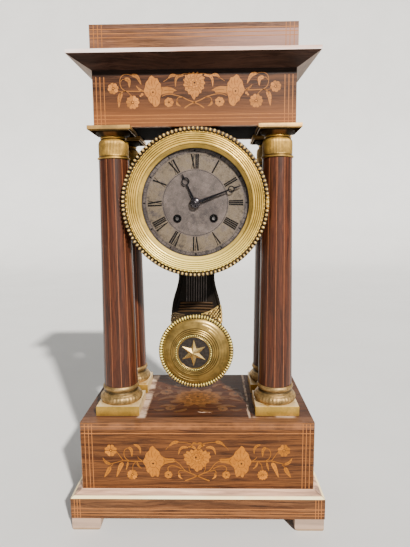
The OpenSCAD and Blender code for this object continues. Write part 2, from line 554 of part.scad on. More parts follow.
feet();
plinth_rails();
bottom_board();
base_front_panel();
base_back_panel();
base_side_panels();
base_top_panel();
column_bases();
column_front_left();
column_front_right();
column_rear_left();
column_rear_right();
column_capitals();
tie_rods();
tie_rod_nuts();
soffit_board();
frieze_front_panel();
frieze_back_panel();
frieze_side_panels();
cornice_moulding();
attic_rails();
attic_top_board();
movement_drum();
drum_saddle();
drum_front_ring();
bezel_ring();
bezel_glass();
bezel_hinge_pin();
dial_plate();
hour_hand();
minute_hand();
hand_collet();
rear_door();
rear_hinge_pin();
front_plate();
back_plate();
plate_pillars();
going_barrel();
going_winding_arbor();
intermediate_wheel();
centre_wheel();
third_wheel();
escape_wheel();
swung() anchor();
cannon_pinion();
minute_wheel();
hour_wheel();
strike_barrel();
strike_winding_arbor();
pin_wheel();
fly();
hammer();
bell();
bell_stand();
pendulum_cock();
swung() suspension_silk();
swung() pendulum_rod();
swung() lyre();
swung() bob_shell();
swung() bob_star();
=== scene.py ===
# Pendulum clock: looks, camera and light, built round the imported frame.
import math
import random

import bpy
from mathutils import Vector, Matrix


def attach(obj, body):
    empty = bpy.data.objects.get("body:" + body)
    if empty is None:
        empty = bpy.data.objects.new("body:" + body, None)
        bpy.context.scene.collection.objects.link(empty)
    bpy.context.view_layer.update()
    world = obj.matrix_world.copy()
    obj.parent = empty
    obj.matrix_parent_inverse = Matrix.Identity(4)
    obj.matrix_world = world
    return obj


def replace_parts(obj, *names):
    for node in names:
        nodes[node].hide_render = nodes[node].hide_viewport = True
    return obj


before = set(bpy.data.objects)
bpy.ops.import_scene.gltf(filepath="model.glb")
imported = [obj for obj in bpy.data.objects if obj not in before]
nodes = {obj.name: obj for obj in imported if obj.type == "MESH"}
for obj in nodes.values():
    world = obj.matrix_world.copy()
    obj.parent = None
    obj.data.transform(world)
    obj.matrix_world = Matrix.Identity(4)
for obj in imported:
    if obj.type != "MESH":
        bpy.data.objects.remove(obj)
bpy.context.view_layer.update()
MM = 0.001
rnd = random.Random(11)

# ---------------------------------------------------------------- camera
FPX, CX, CY = 444.803, 205.0, 273.5
CAM = Vector((18.614, -496.206, 317.136))
YAW, PITCH, ROLL = (math.radians(a) for a in (-1.194, -7.203, -0.495))
FWD = Vector((math.sin(YAW) * math.cos(PITCH), math.cos(YAW) * math.cos(PITCH), math.sin(PITCH)))
_r = Vector((math.cos(YAW), -math.sin(YAW), 0))
_u = _r.cross(FWD)
RIGHT = _r * math.cos(ROLL) + _u * math.sin(ROLL)
UP = -_r * math.sin(ROLL) + _u * math.cos(ROLL)

cam_data = bpy.data.cameras.new("camera")
cam = bpy.data.objects.new("camera", cam_data)
bpy.context.scene.collection.objects.link(cam)
cam_data.sensor_fit = "AUTO"
cam_data.sensor_width = 36.0
cam_data.lens = FPX / 547.0 * 36.0
cam_data.clip_start, cam_data.clip_end = 0.02, 60
m = Matrix.Identity(4)
for i in range(3):
    m[i][0], m[i][1], m[i][2], m[i][3] = RIGHT[i], UP[i], -FWD[i], CAM[i] * MM
cam.matrix_world = m
bpy.context.scene.camera = cam


def ray(px, py):
    return FWD + RIGHT * ((px - CX) / FPX) + UP * ((CY - py) / FPX)


def on_front(px, py, y):
    """(x, z) in mm where the view line through a pixel meets the upright plane at depth y."""
    d = ray(px, py)
    t = (y - CAM.y) / d.y
    p = CAM + d * t
    return (p.x, p.z)


def on_top(px, py, z):
    d = ray(px, py)
    t = (z - CAM.z) / d.z
    p = CAM + d * t
    return (p.x, p.y)


# ---------------------------------------------------------------- materials
# Colours are given as they should look in the finished picture. The picture's tone curve is undone here, and the
# result is divided by how strongly a pale surface shines under the key light, which leaves the surface's own colour.
_TONE = Matrix(((0.842479, 0.0784336, 0.0792237), (0.0423282, 0.878469, 0.0791661), (0.0423757, 0.0784336, 0.879143)))
_BACK = _TONE.inverted()
_LO, _HI = -12.47393, 4.026069
LIGHT, GLOSS = 2.6, 1.75


def _curve(x):
    return 15.5 * x ** 6 - 40.14 * x ** 5 + 31.96 * x ** 4 - 6.868 * x ** 3 + 0.4298 * x * x + 0.1191 * x - 0.00232


_STEPS = [_curve(i / 1500) for i in range(1501)]


def _uncurve(y):
    a, b = 0, 1500
    while b - a > 1:
        k = (a + b) // 2
        if _STEPS[k] < y:
            a = k
        else:
            b = k
    d = _STEPS[b] - _STEPS[a]
    return (a + (min(1.0, max(0.0, (y - _STEPS[a]) / d)) if d > 0 else 0.0)) / 1500


def lin(r, g, b, a=1.0, light=None):
    c = _TONE @ Vector((r / 255, g / 255, b / 255))
    v = _BACK @ Vector([2 ** (_uncurve(k) * (_HI - _LO) + _LO) for k in c])
    k = light or LIGHT
    return tuple(min(0.96, max(0.0008, q / k)) for q in v) + (a,)


def met(r, g, b):
    """The same for a satin metal, which sends back less of the key light."""
    return lin(r, g, b, 1.0, GLOSS)


class Mat:
    """One procedural material round a Principled shader."""

    def __init__(self, name):
        self.m = bpy.data.materials.new(name)
        self.m.use_nodes = True
        self.t = self.m.node_tree
        self.t.nodes.clear()
        out = self.n("ShaderNodeOutputMaterial")
        self.b = self.n("ShaderNodeBsdfPrincipled")
        self.t.links.new(self.b.outputs[0], out.inputs[0])
        self._co = None

    def n(self, kind):
        return self.t.nodes.new(kind)

    def put(self, sock, v):
        if isinstance(v, bpy.types.NodeSocket):
            self.t.links.new(v, sock)
        elif v is not None:
            sock.default_value = v

    def co(self):
        if self._co is None:
            self._co = self.n("ShaderNodeTexCoord").outputs["Object"]
        return self._co

    def map(self, scale, loc=(0, 0, 0), rot=(0, 0, 0), vec=None):
        k = self.n("ShaderNodeMapping")
        self.put(k.inputs["Vector"], vec or self.co())
        k.inputs["Scale"].default_value = scale
        k.inputs["Location"].default_value = loc
        k.inputs["Rotation"].default_value = rot
        return k.outputs[0]

    def noise(self, vec, scale=1.0, detail=4.0, rough=0.55, dist=0.0, colour=False):
        k = self.n("ShaderNodeTexNoise")
        self.put(k.inputs["Vector"], vec)
        k.inputs["Scale"].default_value = scale
        k.inputs["Detail"].default_value = detail
        k.inputs["Roughness"].default_value = rough
        k.inputs["Distortion"].default_value = dist
        return k.outputs["Color" if colour else "Fac"]

    def voronoi(self, vec, scale, feature="F1", out="Distance"):
        k = self.n("ShaderNodeTexVoronoi")
        k.feature = feature
        self.put(k.inputs["Vector"], vec)
        k.inputs["Scale"].default_value = scale
        return k.outputs[out]

    def ramp(self, fac, stops, interp="LINEAR"):
        k = self.n("ShaderNodeValToRGB")
        k.color_ramp.interpolation = interp
        e = k.color_ramp.elements
        while len(e) < len(stops):
            e.new(0.5)
        for el, (p, c) in zip(e, stops):
            el.position = p
            el.color = c if isinstance(c, tuple) else (c, c, c, 1)
        self.put(k.inputs[0], fac)
        return k.outputs[0]

    def mix(self, fac, a, b, blend="MIX"):
        k = self.n("ShaderNodeMix")
        k.data_type = "RGBA"
        k.blend_type = blend
        self.put(k.inputs[0], fac)
        self.put(k.inputs[6], a)
        self.put(k.inputs[7], b)
        return k.outputs[2]

    def math(self, op, a, b=None, clamp=False, c=None):
        k = self.n("ShaderNodeMath")
        k.operation = op
        k.use_clamp = clamp
        self.put(k.inputs[0], a)
        self.put(k.inputs[1], b)
        if c is not None:
            self.put(k.inputs[2], c)
        return k.outputs[0]

    def vmath(self, op, a, b):
        k = self.n("ShaderNodeVectorMath")
        k.operation = op
        self.put(k.inputs[0], a)
        self.put(k.inputs[1], b)
        return k.outputs[0]

    def span(self, v, a, b, lo=0.0, hi=1.0):
        """Smooth step of v from a to b."""
        k = self.n("ShaderNodeMapRange")
        k.interpolation_type = "SMOOTHSTEP"
        self.put(k.inputs[0], v)
        k.inputs[1].default_value = a
        k.inputs[2].default_value = b
        k.inputs[3].default_value = lo
        k.inputs[4].default_value = hi
        return k.outputs[0]

    def sep(self, vec=None):
        k = self.n("ShaderNodeSeparateXYZ")
        self.put(k.inputs[0], vec or self.co())
        return k.outputs[0], k.outputs[1], k.outputs[2]

    def attr(self, name):
        k = self.n("ShaderNodeAttribute")
        k.attribute_name = name
        return k.outputs["Fac"]

    def normal(self):
        return self.sep(self.n("ShaderNodeNewGeometry").outputs["Normal"])

    def bump(self, height, strength=0.3, dist=0.0005, normal=None):
        k = self.n("ShaderNodeBump")
        k.inputs["Strength"].default_value = strength
        k.inputs["Distance"].default_value = dist
        self.put(k.inputs["Height"], height)
        if normal is not None:
            self.put(k.inputs["Normal"], normal)
        self.put(self.b.inputs["Normal"], k.outputs[0])
        return k.outputs[0]

    def set(self, **kw):
        names = dict(colour="Base Color", rough="Roughness", metal="Metallic", spec="Specular IOR Level",
                     coat="Coat Weight", coat_rough="Coat Roughness", alpha="Alpha", trans="Transmission Weight",
                     ior="IOR", sheen="Sheen Weight", aniso="Anisotropic")
        for k, v in kw.items():
            self.put(self.b.inputs[names[k]], v)
        return self


GRAIN = {"h": (17.0, 17.0, 430.0), "x": (17.0, 400.0, 430.0), "y": (400.0, 17.0, 430.0), "z": (430.0, 430.0, 9.0)}
DASH = {"h": (48.0, 48.0, 760.0), "x": (48.0, 760.0, 760.0), "y": (760.0, 48.0, 760.0), "z": (760.0, 760.0, 34.0)}


def wood(name, grain, dark, mid, light, seed=0.0, figure=0.55, rough=(0.42, 0.56), spec=0.18, coat=0.0, bump=0.25,
         cut=0.0, finish=None, stretch=1.0, warm=0.12, fig_w=(0.60, 0.66), pores=0.6):
    """Veneer with long streaks along the grain, dark figure lines, fine pores and slow colour drift."""
    w = Mat(name)
    g = tuple(a * stretch if a > 20 else a for a in GRAIN[grain])
    warp = w.noise(w.map((11, 11, 11), (seed, seed * 2, 3)), 1.0, 2, 0.5, colour=True)
    warp = w.vmath("SUBTRACT", warp, (0.5, 0.5, 0.5))
    scaled = w.vmath("MULTIPLY", warp, tuple(4.0 if a > 20 else 0.0 for a in g))
    base = w.vmath("ADD", w.map(g, (seed * 3.7, seed * 1.3, seed * 5.1)), scaled)
    broad = w.noise(base, 0.62, 3, 0.6, 0.35)
    fine = w.noise(base, 2.0, 5, 0.7, 0.15)
    fac = w.math("ADD", w.math("MULTIPLY", broad, 0.44), w.math("MULTIPLY", fine, 0.56))
    col = w.ramp(fac, [(0.35, dark), (0.48, mid), (0.61, light)], "B_SPLINE")
    drift = w.noise(w.map((14, 14, 20), (seed, 0.3, seed)), 1.0, 2, 0.5)
    col = w.mix(w.math("MULTIPLY", w.span(drift, 0.42, 0.66), warm), col, w.mix(1.0, col, (1.25, 0.86, 0.55, 1), "MULTIPLY"))
    fig = w.noise(base, 0.24, 2, 0.5, 0.8)
    line = w.span(fig, fig_w[0], fig_w[1])
    line2 = w.math("SUBTRACT", 1.0, w.span(w.math("ABSOLUTE", w.math("SUBTRACT", w.noise(base, 0.30, 2, 0.4, 0.5), 0.5)), 0.0, 0.020))
    dk = w.math("MULTIPLY", w.math("MAXIMUM", line, w.math("MULTIPLY", line2, 0.7)), figure)
    col = w.mix(dk, col, w.mix(1.0, col, (0.26, 0.17, 0.14, 1), "MULTIPLY"))
    dash = w.vmath("ADD", w.map(DASH[grain], (seed, seed * 2.3, seed * 1.1)), w.vmath("MULTIPLY", warp, tuple(7.0 if a > 100 else 0.0 for a in DASH[grain])))
    pore = w.span(w.noise(dash, 1.0, 3, 0.65, 0.0), 0.53, 0.66)
    col = w.mix(w.math("MULTIPLY", pore, pores), col, w.mix(1.0, col, (0.30, 0.21, 0.18, 1), "MULTIPLY"))
    scuff = w.span(w.noise(w.map((60, 60, 60), (0, seed, 1)), 1.0, 6, 0.7), 0.62, 0.80)
    col = w.mix(w.math("MULTIPLY", scuff, 0.12), col, lin(205, 175, 145))
    if finish:
        col = finish(w, col)
    w.set(colour=col, rough=w.span(w.math("ADD", w.math("MULTIPLY", fine, 0.5), w.math("MULTIPLY", drift, 0.5)), 0.3, 0.7, rough[0], rough[1]), spec=spec)
    if coat:
        w.set(coat=coat, coat_rough=0.22)
    w.bump(w.math("SUBTRACT", w.math("MULTIPLY", fine, 0.6), w.math("MULTIPLY", pore, 0.7)), bump, 0.0003)
    return w.m


def pale(name, a, b, seed=0.0, grain=(6, 6, 120), rough=0.6, dirt=lin(120, 100, 85), finish=None, dirty=0.45):
    w = Mat(name)
    base = w.map(grain, (seed, seed, seed * 2))
    g = w.noise(base, 1.0, 5, 0.6, 0.4)
    col = w.ramp(g, [(0.32, a), (0.68, b)])
    d = w.span(w.noise(w.map((40, 40, 40), (seed, 1, 2)), 1.0, 6, 0.7), 0.5, 0.78)
    col = w.mix(w.math("MULTIPLY", d, dirty), col, dirt)
    if finish:
        col = finish(w, col)
    w.set(colour=col, rough=rough, spec=0.3)
    w.bump(g, 0.25, 0.0003)
    return w.m


def brass(name, base, hot, tarnish, rough=(0.28, 0.45), seed=0.0, amount=0.4, fine=0.15, metal=0.85, scale=70, finish=None, spec=0.5):
    w = Mat(name)
    n = w.noise(w.map((scale, scale, scale), (seed, 1, seed)), 1.0, 6, 0.65)
    col = w.mix(w.span(n, 0.35, 0.65), base, hot)
    t = w.span(w.noise(w.map((scale * 2.2,) * 3, (3, seed, 1)), 1.0, 6, 0.7), 0.52, 0.72)
    col = w.mix(w.math("MULTIPLY", t, amount), col, tarnish)
    w.set(metal=metal, spec=spec)
    if finish:
        col = finish(w, col)
    w.set(colour=col, rough=w.span(w.math("ADD", w.math("MULTIPLY", n, 0.6), w.math("MULTIPLY", t, 0.4)), 0.2, 0.8, rough[0], rough[1]))
    w.bump(w.noise(w.map((900, 900, 900)), 1.0, 3, 0.6), fine, 0.0002)
    return w.m


def base_ring_finish(w, col):
    """Dust lies on the upward faces low on the column bases; the hollow above the torus is painted dark as shade."""
    x, y, z = w.sep()
    up = w.span(w.normal()[2], 0.25, 0.8)
    dust = w.span(w.noise(w.map((70, 70, 70), (2, 2, 5)), 1.0, 6, 0.7), 0.30, 0.58)
    low = w.math("SUBTRACT", 1.0, w.span(z, 0.1245, 0.1275))
    k = w.math("MULTIPLY", w.math("MULTIPLY", up, dust), low)
    w.set(metal=w.math("SUBTRACT", 0.8, w.math("MULTIPLY", k, 0.75)))
    col = w.mix(w.math("MULTIPLY", k, 0.9), col, lin(214, 200, 172))
    # painted shade in the hollow between the torus and the top ring
    dark = w.math("MULTIPLY", w.span(z, 0.1312, 0.1320), w.math("SUBTRACT", 1.0, w.span(z, 0.1338, 0.1346)))
    return w.mix(w.math("MULTIPLY", dark, 0.75), col, lin(60, 46, 28))


def block_finish(w, col):
    """Block of a column base: smooth yellow plate in front, pale dusty top, right side painted pale as dust with
    painted sunlight, dull left side.
    """
    nx, ny, nz = w.normal()
    x, y, z = w.sep()
    d = w.noise(w.map((60, 60, 60), (1, 5, 2)), 1.0, 6, 0.7)
    up = w.math("MULTIPLY", w.span(nz, 0.4, 0.8), w.span(d, 0.28, 0.5))
    # right-facing sides: pale dust together with painted sunlight
    side = w.math("MULTIPLY", w.span(nx, 0.5, 0.8), w.span(d, 0.35, 0.6, 0.4, 1.0))
    k = w.math("MAXIMUM", up, side)
    w.set(metal=w.math("SUBTRACT", 0.8, w.math("MULTIPLY", k, 0.75)))
    stain = w.math("MULTIPLY", w.span(w.noise(w.map((45, 45, 80), (7, 5, 2)), 1.0, 5, 0.65), 0.54, 0.66), w.span(x, 0.06, 0.085))
    col = w.mix(w.math("MULTIPLY", stain, 0.75), col, met(84, 60, 30))
    return w.mix(w.math("MULTIPLY", k, 0.85), col, lin(216, 204, 178))


def capital_finish(w, col):
    """The leafy part under the top plate is painted nearly black as shade, with a lit brown leaf; the creases above and
    below the bell are painted dark as shade.
    """
    x, y, z = w.sep()
    ax = w.math("ABSOLUTE", w.math("SUBTRACT", w.math("ABSOLUTE", x), 0.0835))
    # painted shade on the leafy part under the top plate
    ech = w.span(z, 0.3981, 0.3985)
    leaf_in = w.math("MULTIPLY", w.math("SUBTRACT", 1.0, w.span(ax, 0.0045, 0.0080)), w.math("SUBTRACT", 1.0, w.span(z, 0.4012, 0.4020)))
    # painted shade in the crease above the bell's foot ring, and next under the neck ring
    line = w.math("MULTIPLY", w.span(z, 0.3778, 0.3781), w.math("SUBTRACT", 1.0, w.span(z, 0.3787, 0.3792)))
    neck_crease_shade = w.math("MULTIPLY", w.span(z, 0.3950, 0.3956), w.math("SUBTRACT", 1.0, w.span(z, 0.3959, 0.3962)))
    w.set(metal=w.math("SUBTRACT", 0.8, w.math("MULTIPLY", ech, 0.7)), spec=w.math("SUBTRACT", 0.5, w.math("MULTIPLY", ech, 0.46)))
    col = w.mix(w.math("MULTIPLY", w.math("MAXIMUM", line, neck_crease_shade), 0.85), col, met(58, 40, 22))
    return w.mix(w.math("MULTIPLY", ech, 0.97), col, w.mix(leaf_in, lin(24, 14, 9), lin(150, 104, 60)))


def abacus_finish(w, col):
    """Square top plate: lit edge, underside painted nearly black as shade."""
    # painted shade on the underside
    under = w.math("SUBTRACT", 1.0, w.span(w.normal()[2], -0.75, -0.35))
    w.set(metal=w.math("SUBTRACT", 0.7, w.math("MULTIPLY", under, 0.7)), spec=w.math("SUBTRACT", 0.5, w.math("MULTIPLY", under, 0.5)))
    return w.mix(w.math("MULTIPLY", under, 0.98), col, lin(16, 10, 7))


def gilt_painted_light(w, col):
    """The lower part of the bezel's gilding, where its slopes face up, is painted brighter as painted light."""
    z = w.sep()[2]
    k = w.math("MULTIPLY", w.math("SUBTRACT", 1.0, w.span(z, 0.262, 0.318)), w.span(z, 0.235, 0.245))
    w.set(metal=w.math("SUBTRACT", 0.66, w.math("MULTIPLY", k, 0.42)))
    return w.mix(w.math("MULTIPLY", k, 0.9), col, lin(246, 224, 184))


def sight_painted_light(w, col):
    """The sloping ring inside the glass is painted brighter towards its foot as painted light, like the bezel."""
    k = w.math("SUBTRACT", 1.0, w.span(w.sep()[2], 0.272, 0.318))
    return w.mix(w.math("MULTIPLY", k, 0.7), col, lin(240, 222, 180))


def frieze_wear_and_shadow(w, col):
    """Lighter towards the bottom, with rubbed edges; a painted shadow of the cornice darkens the strip close under it.
    """
    z = w.sep()[2]
    low = w.math("SUBTRACT", 1.0, w.span(z, 0.4150, 0.4380))
    col = w.mix(w.math("MULTIPLY", low, 0.46), col, lin(196, 146, 100))
    col = edge_wear(100.35, 407, None, 40.6)(w, col)
    # painted shadow cast by the cornice on the top of the frieze
    return w.mix(w.math("MULTIPLY", w.span(z, 0.4542, 0.4562), 0.85), col, lin(16, 9, 6))


ROSE_D, ROSE_M, ROSE_L = lin(80, 44, 27), lin(136, 87, 50), lin(172, 122, 76)


def edge_wear(x0, z0=None, z1=None, y0=None, tint=lin(206, 178, 146), amount=0.6):
    """Pale rubbed lines where two faces of a box meet, given by its half width, heights and half depth in mm."""
    def f(w, col):
        x, y, z = w.sep()
        ex = w.span(w.math("ABSOLUTE", x), (x0 - 1.1) * MM, (x0 - 0.1) * MM)
        ey = w.span(w.math("ABSOLUTE", y), (y0 - 1.1) * MM, (y0 - 0.1) * MM)
        ez = 0.0
        for zz, s in ((z0, -1), (z1, 1)):
            if zz is not None:
                a = w.math("MULTIPLY", w.math("SUBTRACT", z, zz * MM), s)
                ez = w.math("MAXIMUM", ez, w.span(a, -1.0 * MM, -0.1 * MM))
        k = w.math("MAXIMUM", w.math("MINIMUM", ex, ey), w.math("MAXIMUM", w.math("MINIMUM", ex, ez), w.math("MINIMUM", ey, ez)))
        patch = w.span(w.noise(w.map((55, 55, 55), (1, 2, 3)), 1.0, 5, 0.7), 0.40, 0.62)
        return w.mix(w.math("MULTIPLY", w.math("MULTIPLY", k, patch), amount), col, tint)
    return f


def attic_finish(w, col):
    """Lighter towards its right end and in soft patches, with rubbed edges."""
    x, y, z = w.sep()
    n = w.noise(w.map((18, 18, 60), (5, 1, 2)), 1.0, 5, 0.6)
    lighter_right = w.math("ADD", w.span(x, -0.045, 0.085, 0.0, 0.72), w.span(n, 0.35, 0.7, 0.0, 0.16))
    col = w.mix(lighter_right, col, w.mix(0.12, lin(204, 182, 174), col))
    return edge_wear(101.2, None, 502.6, 42.5, amount=0.75)(w, col)


def base_top_finish(w, col):
    """Rubbed, dusty wood round the column feet and along the edges of the top board."""
    x, y, z = w.sep()
    ax = w.math("ABSOLUTE", x)
    dust = w.noise(w.map((26, 60, 26), (4, 1, 0)), 1.0, 6, 0.7)
    wob = w.math("MULTIPLY", w.math("SUBTRACT", w.noise(w.map((34, 34, 34), (4, 7, 0)), 1.0, 6, 0.75), 0.5), 0.012)
    xl = w.math("ADD", w.math("MULTIPLY", x, -1.0), wob)
    xr = w.math("ADD", x, w.math("MULTIPLY", wob, 0.4))
    left = w.math("MULTIPLY", w.span(xl, 0.0530, 0.0560), w.math("SUBTRACT", 1.0, w.span(xl, 0.0600, 0.0650)))
    right = w.math("MULTIPLY", w.span(xr, 0.0528, 0.0540), w.math("SUBTRACT", 1.0, w.span(xr, 0.0550, 0.0566)))
    front_r = w.math("MULTIPLY", w.span(x, 0.0560, 0.0600), w.math("MULTIPLY", w.span(y, -0.0525, -0.0545), w.math("SUBTRACT", 1.0, w.span(x, 0.0980, 0.1040))))
    band = w.math("MAXIMUM", left, w.math("MAXIMUM", w.math("MULTIPLY", right, 0.8), w.math("MULTIPLY", front_r, 0.8)))
    outer = w.span(ax, 0.061, 0.066)
    k = w.math("MULTIPLY", outer, w.span(dust, 0.40, 0.72, 0.15, 0.7))
    strip = w.math("SUBTRACT", 1.0, w.span(w.math("ADD", y, w.math("MULTIPLY", dust, 0.004)), -0.0560, -0.0530))
    fine_ = w.noise(w.map((40, 900, 40), (2, 1, 0)), 1.0, 4, 0.6, 0.2)
    wood_ = w.ramp(fine_, [(0.36, lin(132, 92, 64)), (0.62, lin(186, 144, 110))])
    col = w.mix(w.math("MULTIPLY", strip, 0.85), col, wood_)
    col = w.mix(w.math("MULTIPLY", k, 0.7), col, lin(160, 132, 114))
    pale_ = w.math("MULTIPLY", w.math("MULTIPLY", band, w.span(dust, 0.36, 0.56)), w.math("SUBTRACT", 1.0, w.span(y, -0.0565, -0.0600)))
    up = w.span(w.normal()[2], 0.6, 0.9)
    return w.mix(w.math("MULTIPLY", w.math("MULTIPLY", pale_, up), 0.9), col, lin(214, 202, 190))


def plinth_finish(w, col):
    """Above the upright face: a pale chamfer of unfinished wood with a painted sheen, then a greyer slope, with the
    mitres drawn in.
    """
    x, y, z = w.sep()
    n = w.noise(w.map((10, 10, 10), (2, 0, 1)), 1.0, 5, 0.65)
    streak = w.noise(w.map((12, 160, 160), (1, 0, 1)), 1.0, 4, 0.6, 0.4)
    # chamfer painted near-white: unfinished wood with a painted sheen of the light
    chamfer_wood_and_sheen = w.ramp(n, [(0.35, lin(246, 222, 202)), (0.65, lin(253, 238, 222))])
    slope = w.ramp(streak, [(0.34, lin(172, 150, 134)), (0.55, lin(216, 196, 180)), (0.72, lin(234, 218, 204))])
    up = w.mix(w.span(z, 0.0358, 0.0368), chamfer_wood_and_sheen, slope)
    mitre = w.math("ABSOLUTE", w.math("SUBTRACT", w.math("SUBTRACT", w.math("ABSOLUTE", x), 0.129), w.math("SUBTRACT", w.math("ABSOLUTE", y), 0.079)))
    up = w.mix(w.math("MULTIPLY", w.math("SUBTRACT", 1.0, w.span(mitre, 0.0002, 0.0006)), 0.75), up, lin(70, 52, 42))
    foot = w.span(z, 0.0385, 0.0394)
    up = w.mix(w.math("MULTIPLY", foot, 0.5), up, lin(228, 214, 200))
    return w.mix(w.span(z, 0.03425, 0.03445), col, up)


def cornice_finish(w, col):
    """Edge strip rubbed pale; end bevels pale from wear with painted light from below; front bevel dark, its wood
    darkened further as painted shade.
    """
    x, y, z = w.sep()
    nx, ny, nz = w.normal()
    n = w.noise(w.map((8, 8, 90), (2, 0, 1)), 1.0, 5, 0.6)
    edge = w.ramp(n, [(0.35, lin(222, 202, 190)), (0.66, lin(250, 240, 232))])
    strip = w.math("MULTIPLY", w.span(z, 0.4705, 0.4710), w.math("SUBTRACT", 1.0, w.span(w.math("ABSOLUTE", nz), 0.5, 0.8)))
    col = w.mix(strip, col, edge)
    # end bevels facing down and out: rubbed pale, with painted light from below
    side = w.math("MULTIPLY", w.span(w.math("ABSOLUTE", nx), 0.2, 0.4), w.math("SUBTRACT", 1.0, w.span(nz, -0.4, -0.2)))
    end_bevel_wear_and_light = w.ramp(n, [(0.35, lin(150, 130, 114)), (0.66, lin(196, 176, 158))])
    return w.mix(w.math("MULTIPLY", side, 0.9), col, end_bevel_wear_and_light)


M = {}
M["base"] = wood("veneer_base", "h", ROSE_D, ROSE_M, ROSE_L, seed=1.0, figure=0.8, finish=edge_wear(119, None, 111, 69))
M["plinth"] = wood("veneer_plinth", "h", lin(98, 64, 42), lin(144, 102, 69), lin(176, 134, 96), seed=3.1, figure=0.4, finish=plinth_finish)
M["top"] = wood("veneer_top", "x", lin(66, 35, 24), lin(112, 67, 46), lin(146, 94, 64), seed=2.2, figure=0.5, rough=(0.5, 0.62), spec=0.08, finish=base_top_finish)
M["frieze"] = wood("veneer_frieze", "h", lin(78, 47, 31), lin(120, 77, 49), lin(156, 110, 75), seed=5.4, figure=0.5, warm=0.2, finish=frieze_wear_and_shadow)
M["attic"] = wood("veneer_attic", "h", lin(108, 72, 48), lin(158, 116, 84), lin(190, 150, 114), seed=7.7, figure=0.4, warm=0.2, finish=attic_finish)
M["attic_top"] = wood("veneer_attic_top", "x", lin(110, 78, 64), lin(152, 114, 92), lin(180, 146, 122), seed=7.9, figure=0.4, finish=edge_wear(101.2, None, 502.6, 42.5))
# dark tones: rosewood darkened further as painted shade on the front bevel
M["cornice"] = wood("veneer_cornice", "h", lin(68, 46, 38), lin(96, 68, 56), lin(122, 90, 76), seed=9.1, figure=0.3, spec=0.08, finish=cornice_finish)
M["column"] = wood("veneer_column", "z", lin(54, 25, 16), lin(106, 57, 35), lin(146, 84, 53), seed=4.0, figure=0.55, rough=(0.32, 0.46), spec=0.3, coat=0.0, warm=0.3, bump=0.12)
M["back"] = wood("plain_back", "h", lin(116, 82, 52), lin(158, 120, 80), lin(184, 148, 104), seed=6.3, figure=0.25, rough=(0.55, 0.7), spec=0.25, bump=0.4)
# soffit and drum saddle painted nearly black as the deep shade under the frieze
M["oak"] = wood("oak_inside", "x", lin(16, 11, 9), lin(24, 17, 13), lin(34, 25, 19), seed=8.3, figure=0.2, rough=(0.8, 0.9), spec=0.02, bump=0.4)
M["foot"] = pale("limed_foot", lin(182, 166, 152), lin(208, 192, 178), seed=1.5, dirty=0.3, finish=lambda w, c: w.mix(w.math("MULTIPLY", w.math("SUBTRACT", 1.0, w.span(w.sep()[2], 0.0005, 0.0030)), 0.6), c, lin(176, 150, 96)))
M["aged"] = brass("brass_aged", met(178, 148, 86), met(204, 174, 108), met(120, 96, 60), seed=2.0, amount=0.5, rough=(0.42, 0.56))
M["capital"] = brass("brass_capital", met(176, 150, 92), met(204, 180, 118), met(124, 100, 60), seed=2.0, amount=0.5, rough=(0.46, 0.60), metal=0.8, finish=capital_finish)
M["abacus"] = brass("brass_abacus", met(178, 152, 104), met(204, 178, 126), met(130, 104, 66), seed=2.1, amount=0.5, rough=(0.46, 0.60), metal=0.7, finish=abacus_finish)
M["base_ring"] = brass("brass_base_ring", met(158, 136, 94), met(192, 170, 128), met(100, 80, 50), seed=2.7, amount=0.6, rough=(0.52, 0.66), metal=0.7, scale=120, finish=base_ring_finish)
M["block"] = brass("brass_block", met(192, 168, 102), met(208, 184, 122), met(158, 130, 72), seed=2.3, amount=0.35, rough=(0.36, 0.5), metal=0.8, finish=block_finish)
M["drum"] = brass("brass_drum", met(120, 100, 70), met(146, 124, 88), met(74, 62, 48), seed=5.0, amount=0.7, rough=(0.4, 0.6))
M["gilt"] = brass("brass_gilt", met(204, 186, 126), met(220, 204, 148), met(174, 152, 94), seed=3.0, amount=0.3, rough=(0.30, 0.40), metal=0.72, finish=gilt_painted_light)
M["gilt_bob"] = brass("brass_gilt_bob", met(159, 138, 85), met(186, 165, 110), met(112, 89, 47), seed=3.9, amount=0.4, rough=(0.30, 0.42), metal=0.7)
M["star"] = brass("brass_star", met(200, 184, 140), met(216, 202, 164), met(164, 144, 100), seed=3.2, amount=0.2, rough=(0.24, 0.34), metal=0.85)
M["sight"] = brass("brass_sight_ring", lin(206, 188, 127), lin(224, 208, 150), lin(178, 156, 99), seed=3.1, amount=0.3, rough=(0.40, 0.52), metal=0.15, finish=sight_painted_light)
# dark gilding for grooves and bead troughs: patina with painted shade
M["gilt_low"] = brass("brass_gilt_groove", met(74, 54, 26), met(94, 70, 36), met(50, 36, 18), seed=3.3, amount=0.4, rough=(0.5, 0.65), metal=0.6)
M["recess"] = brass("brass_recess", met(58, 42, 25), met(76, 56, 34), met(36, 26, 16), seed=3.6, amount=0.5, rough=(0.6, 0.75), metal=0.5)
M["bead"] = brass("brass_bead", met(198, 184, 146), met(218, 206, 170), met(140, 122, 84), seed=3.8, amount=0.4, rough=(0.28, 0.38), metal=0.6)
M["bead_bob"] = brass("brass_bead_bob", met(208, 194, 146), met(226, 214, 172), met(150, 130, 86), seed=3.4, amount=0.3, rough=(0.28, 0.38), metal=0.6)
# lyre plate painted nearly black as the shade of the bezel above it
M["dark_brass"] = brass("brass_dark", lin(30, 21, 13), lin(42, 30, 19), lin(18, 12, 8), seed=7.0, amount=0.6, rough=(0.6, 0.75), metal=0.1, spec=0.12)
M["leaf"] = brass("brass_leaf", met(184, 168, 122), met(212, 196, 150), met(100, 82, 52), seed=7.3, amount=0.5, rough=(0.36, 0.5), metal=0.7, scale=240)
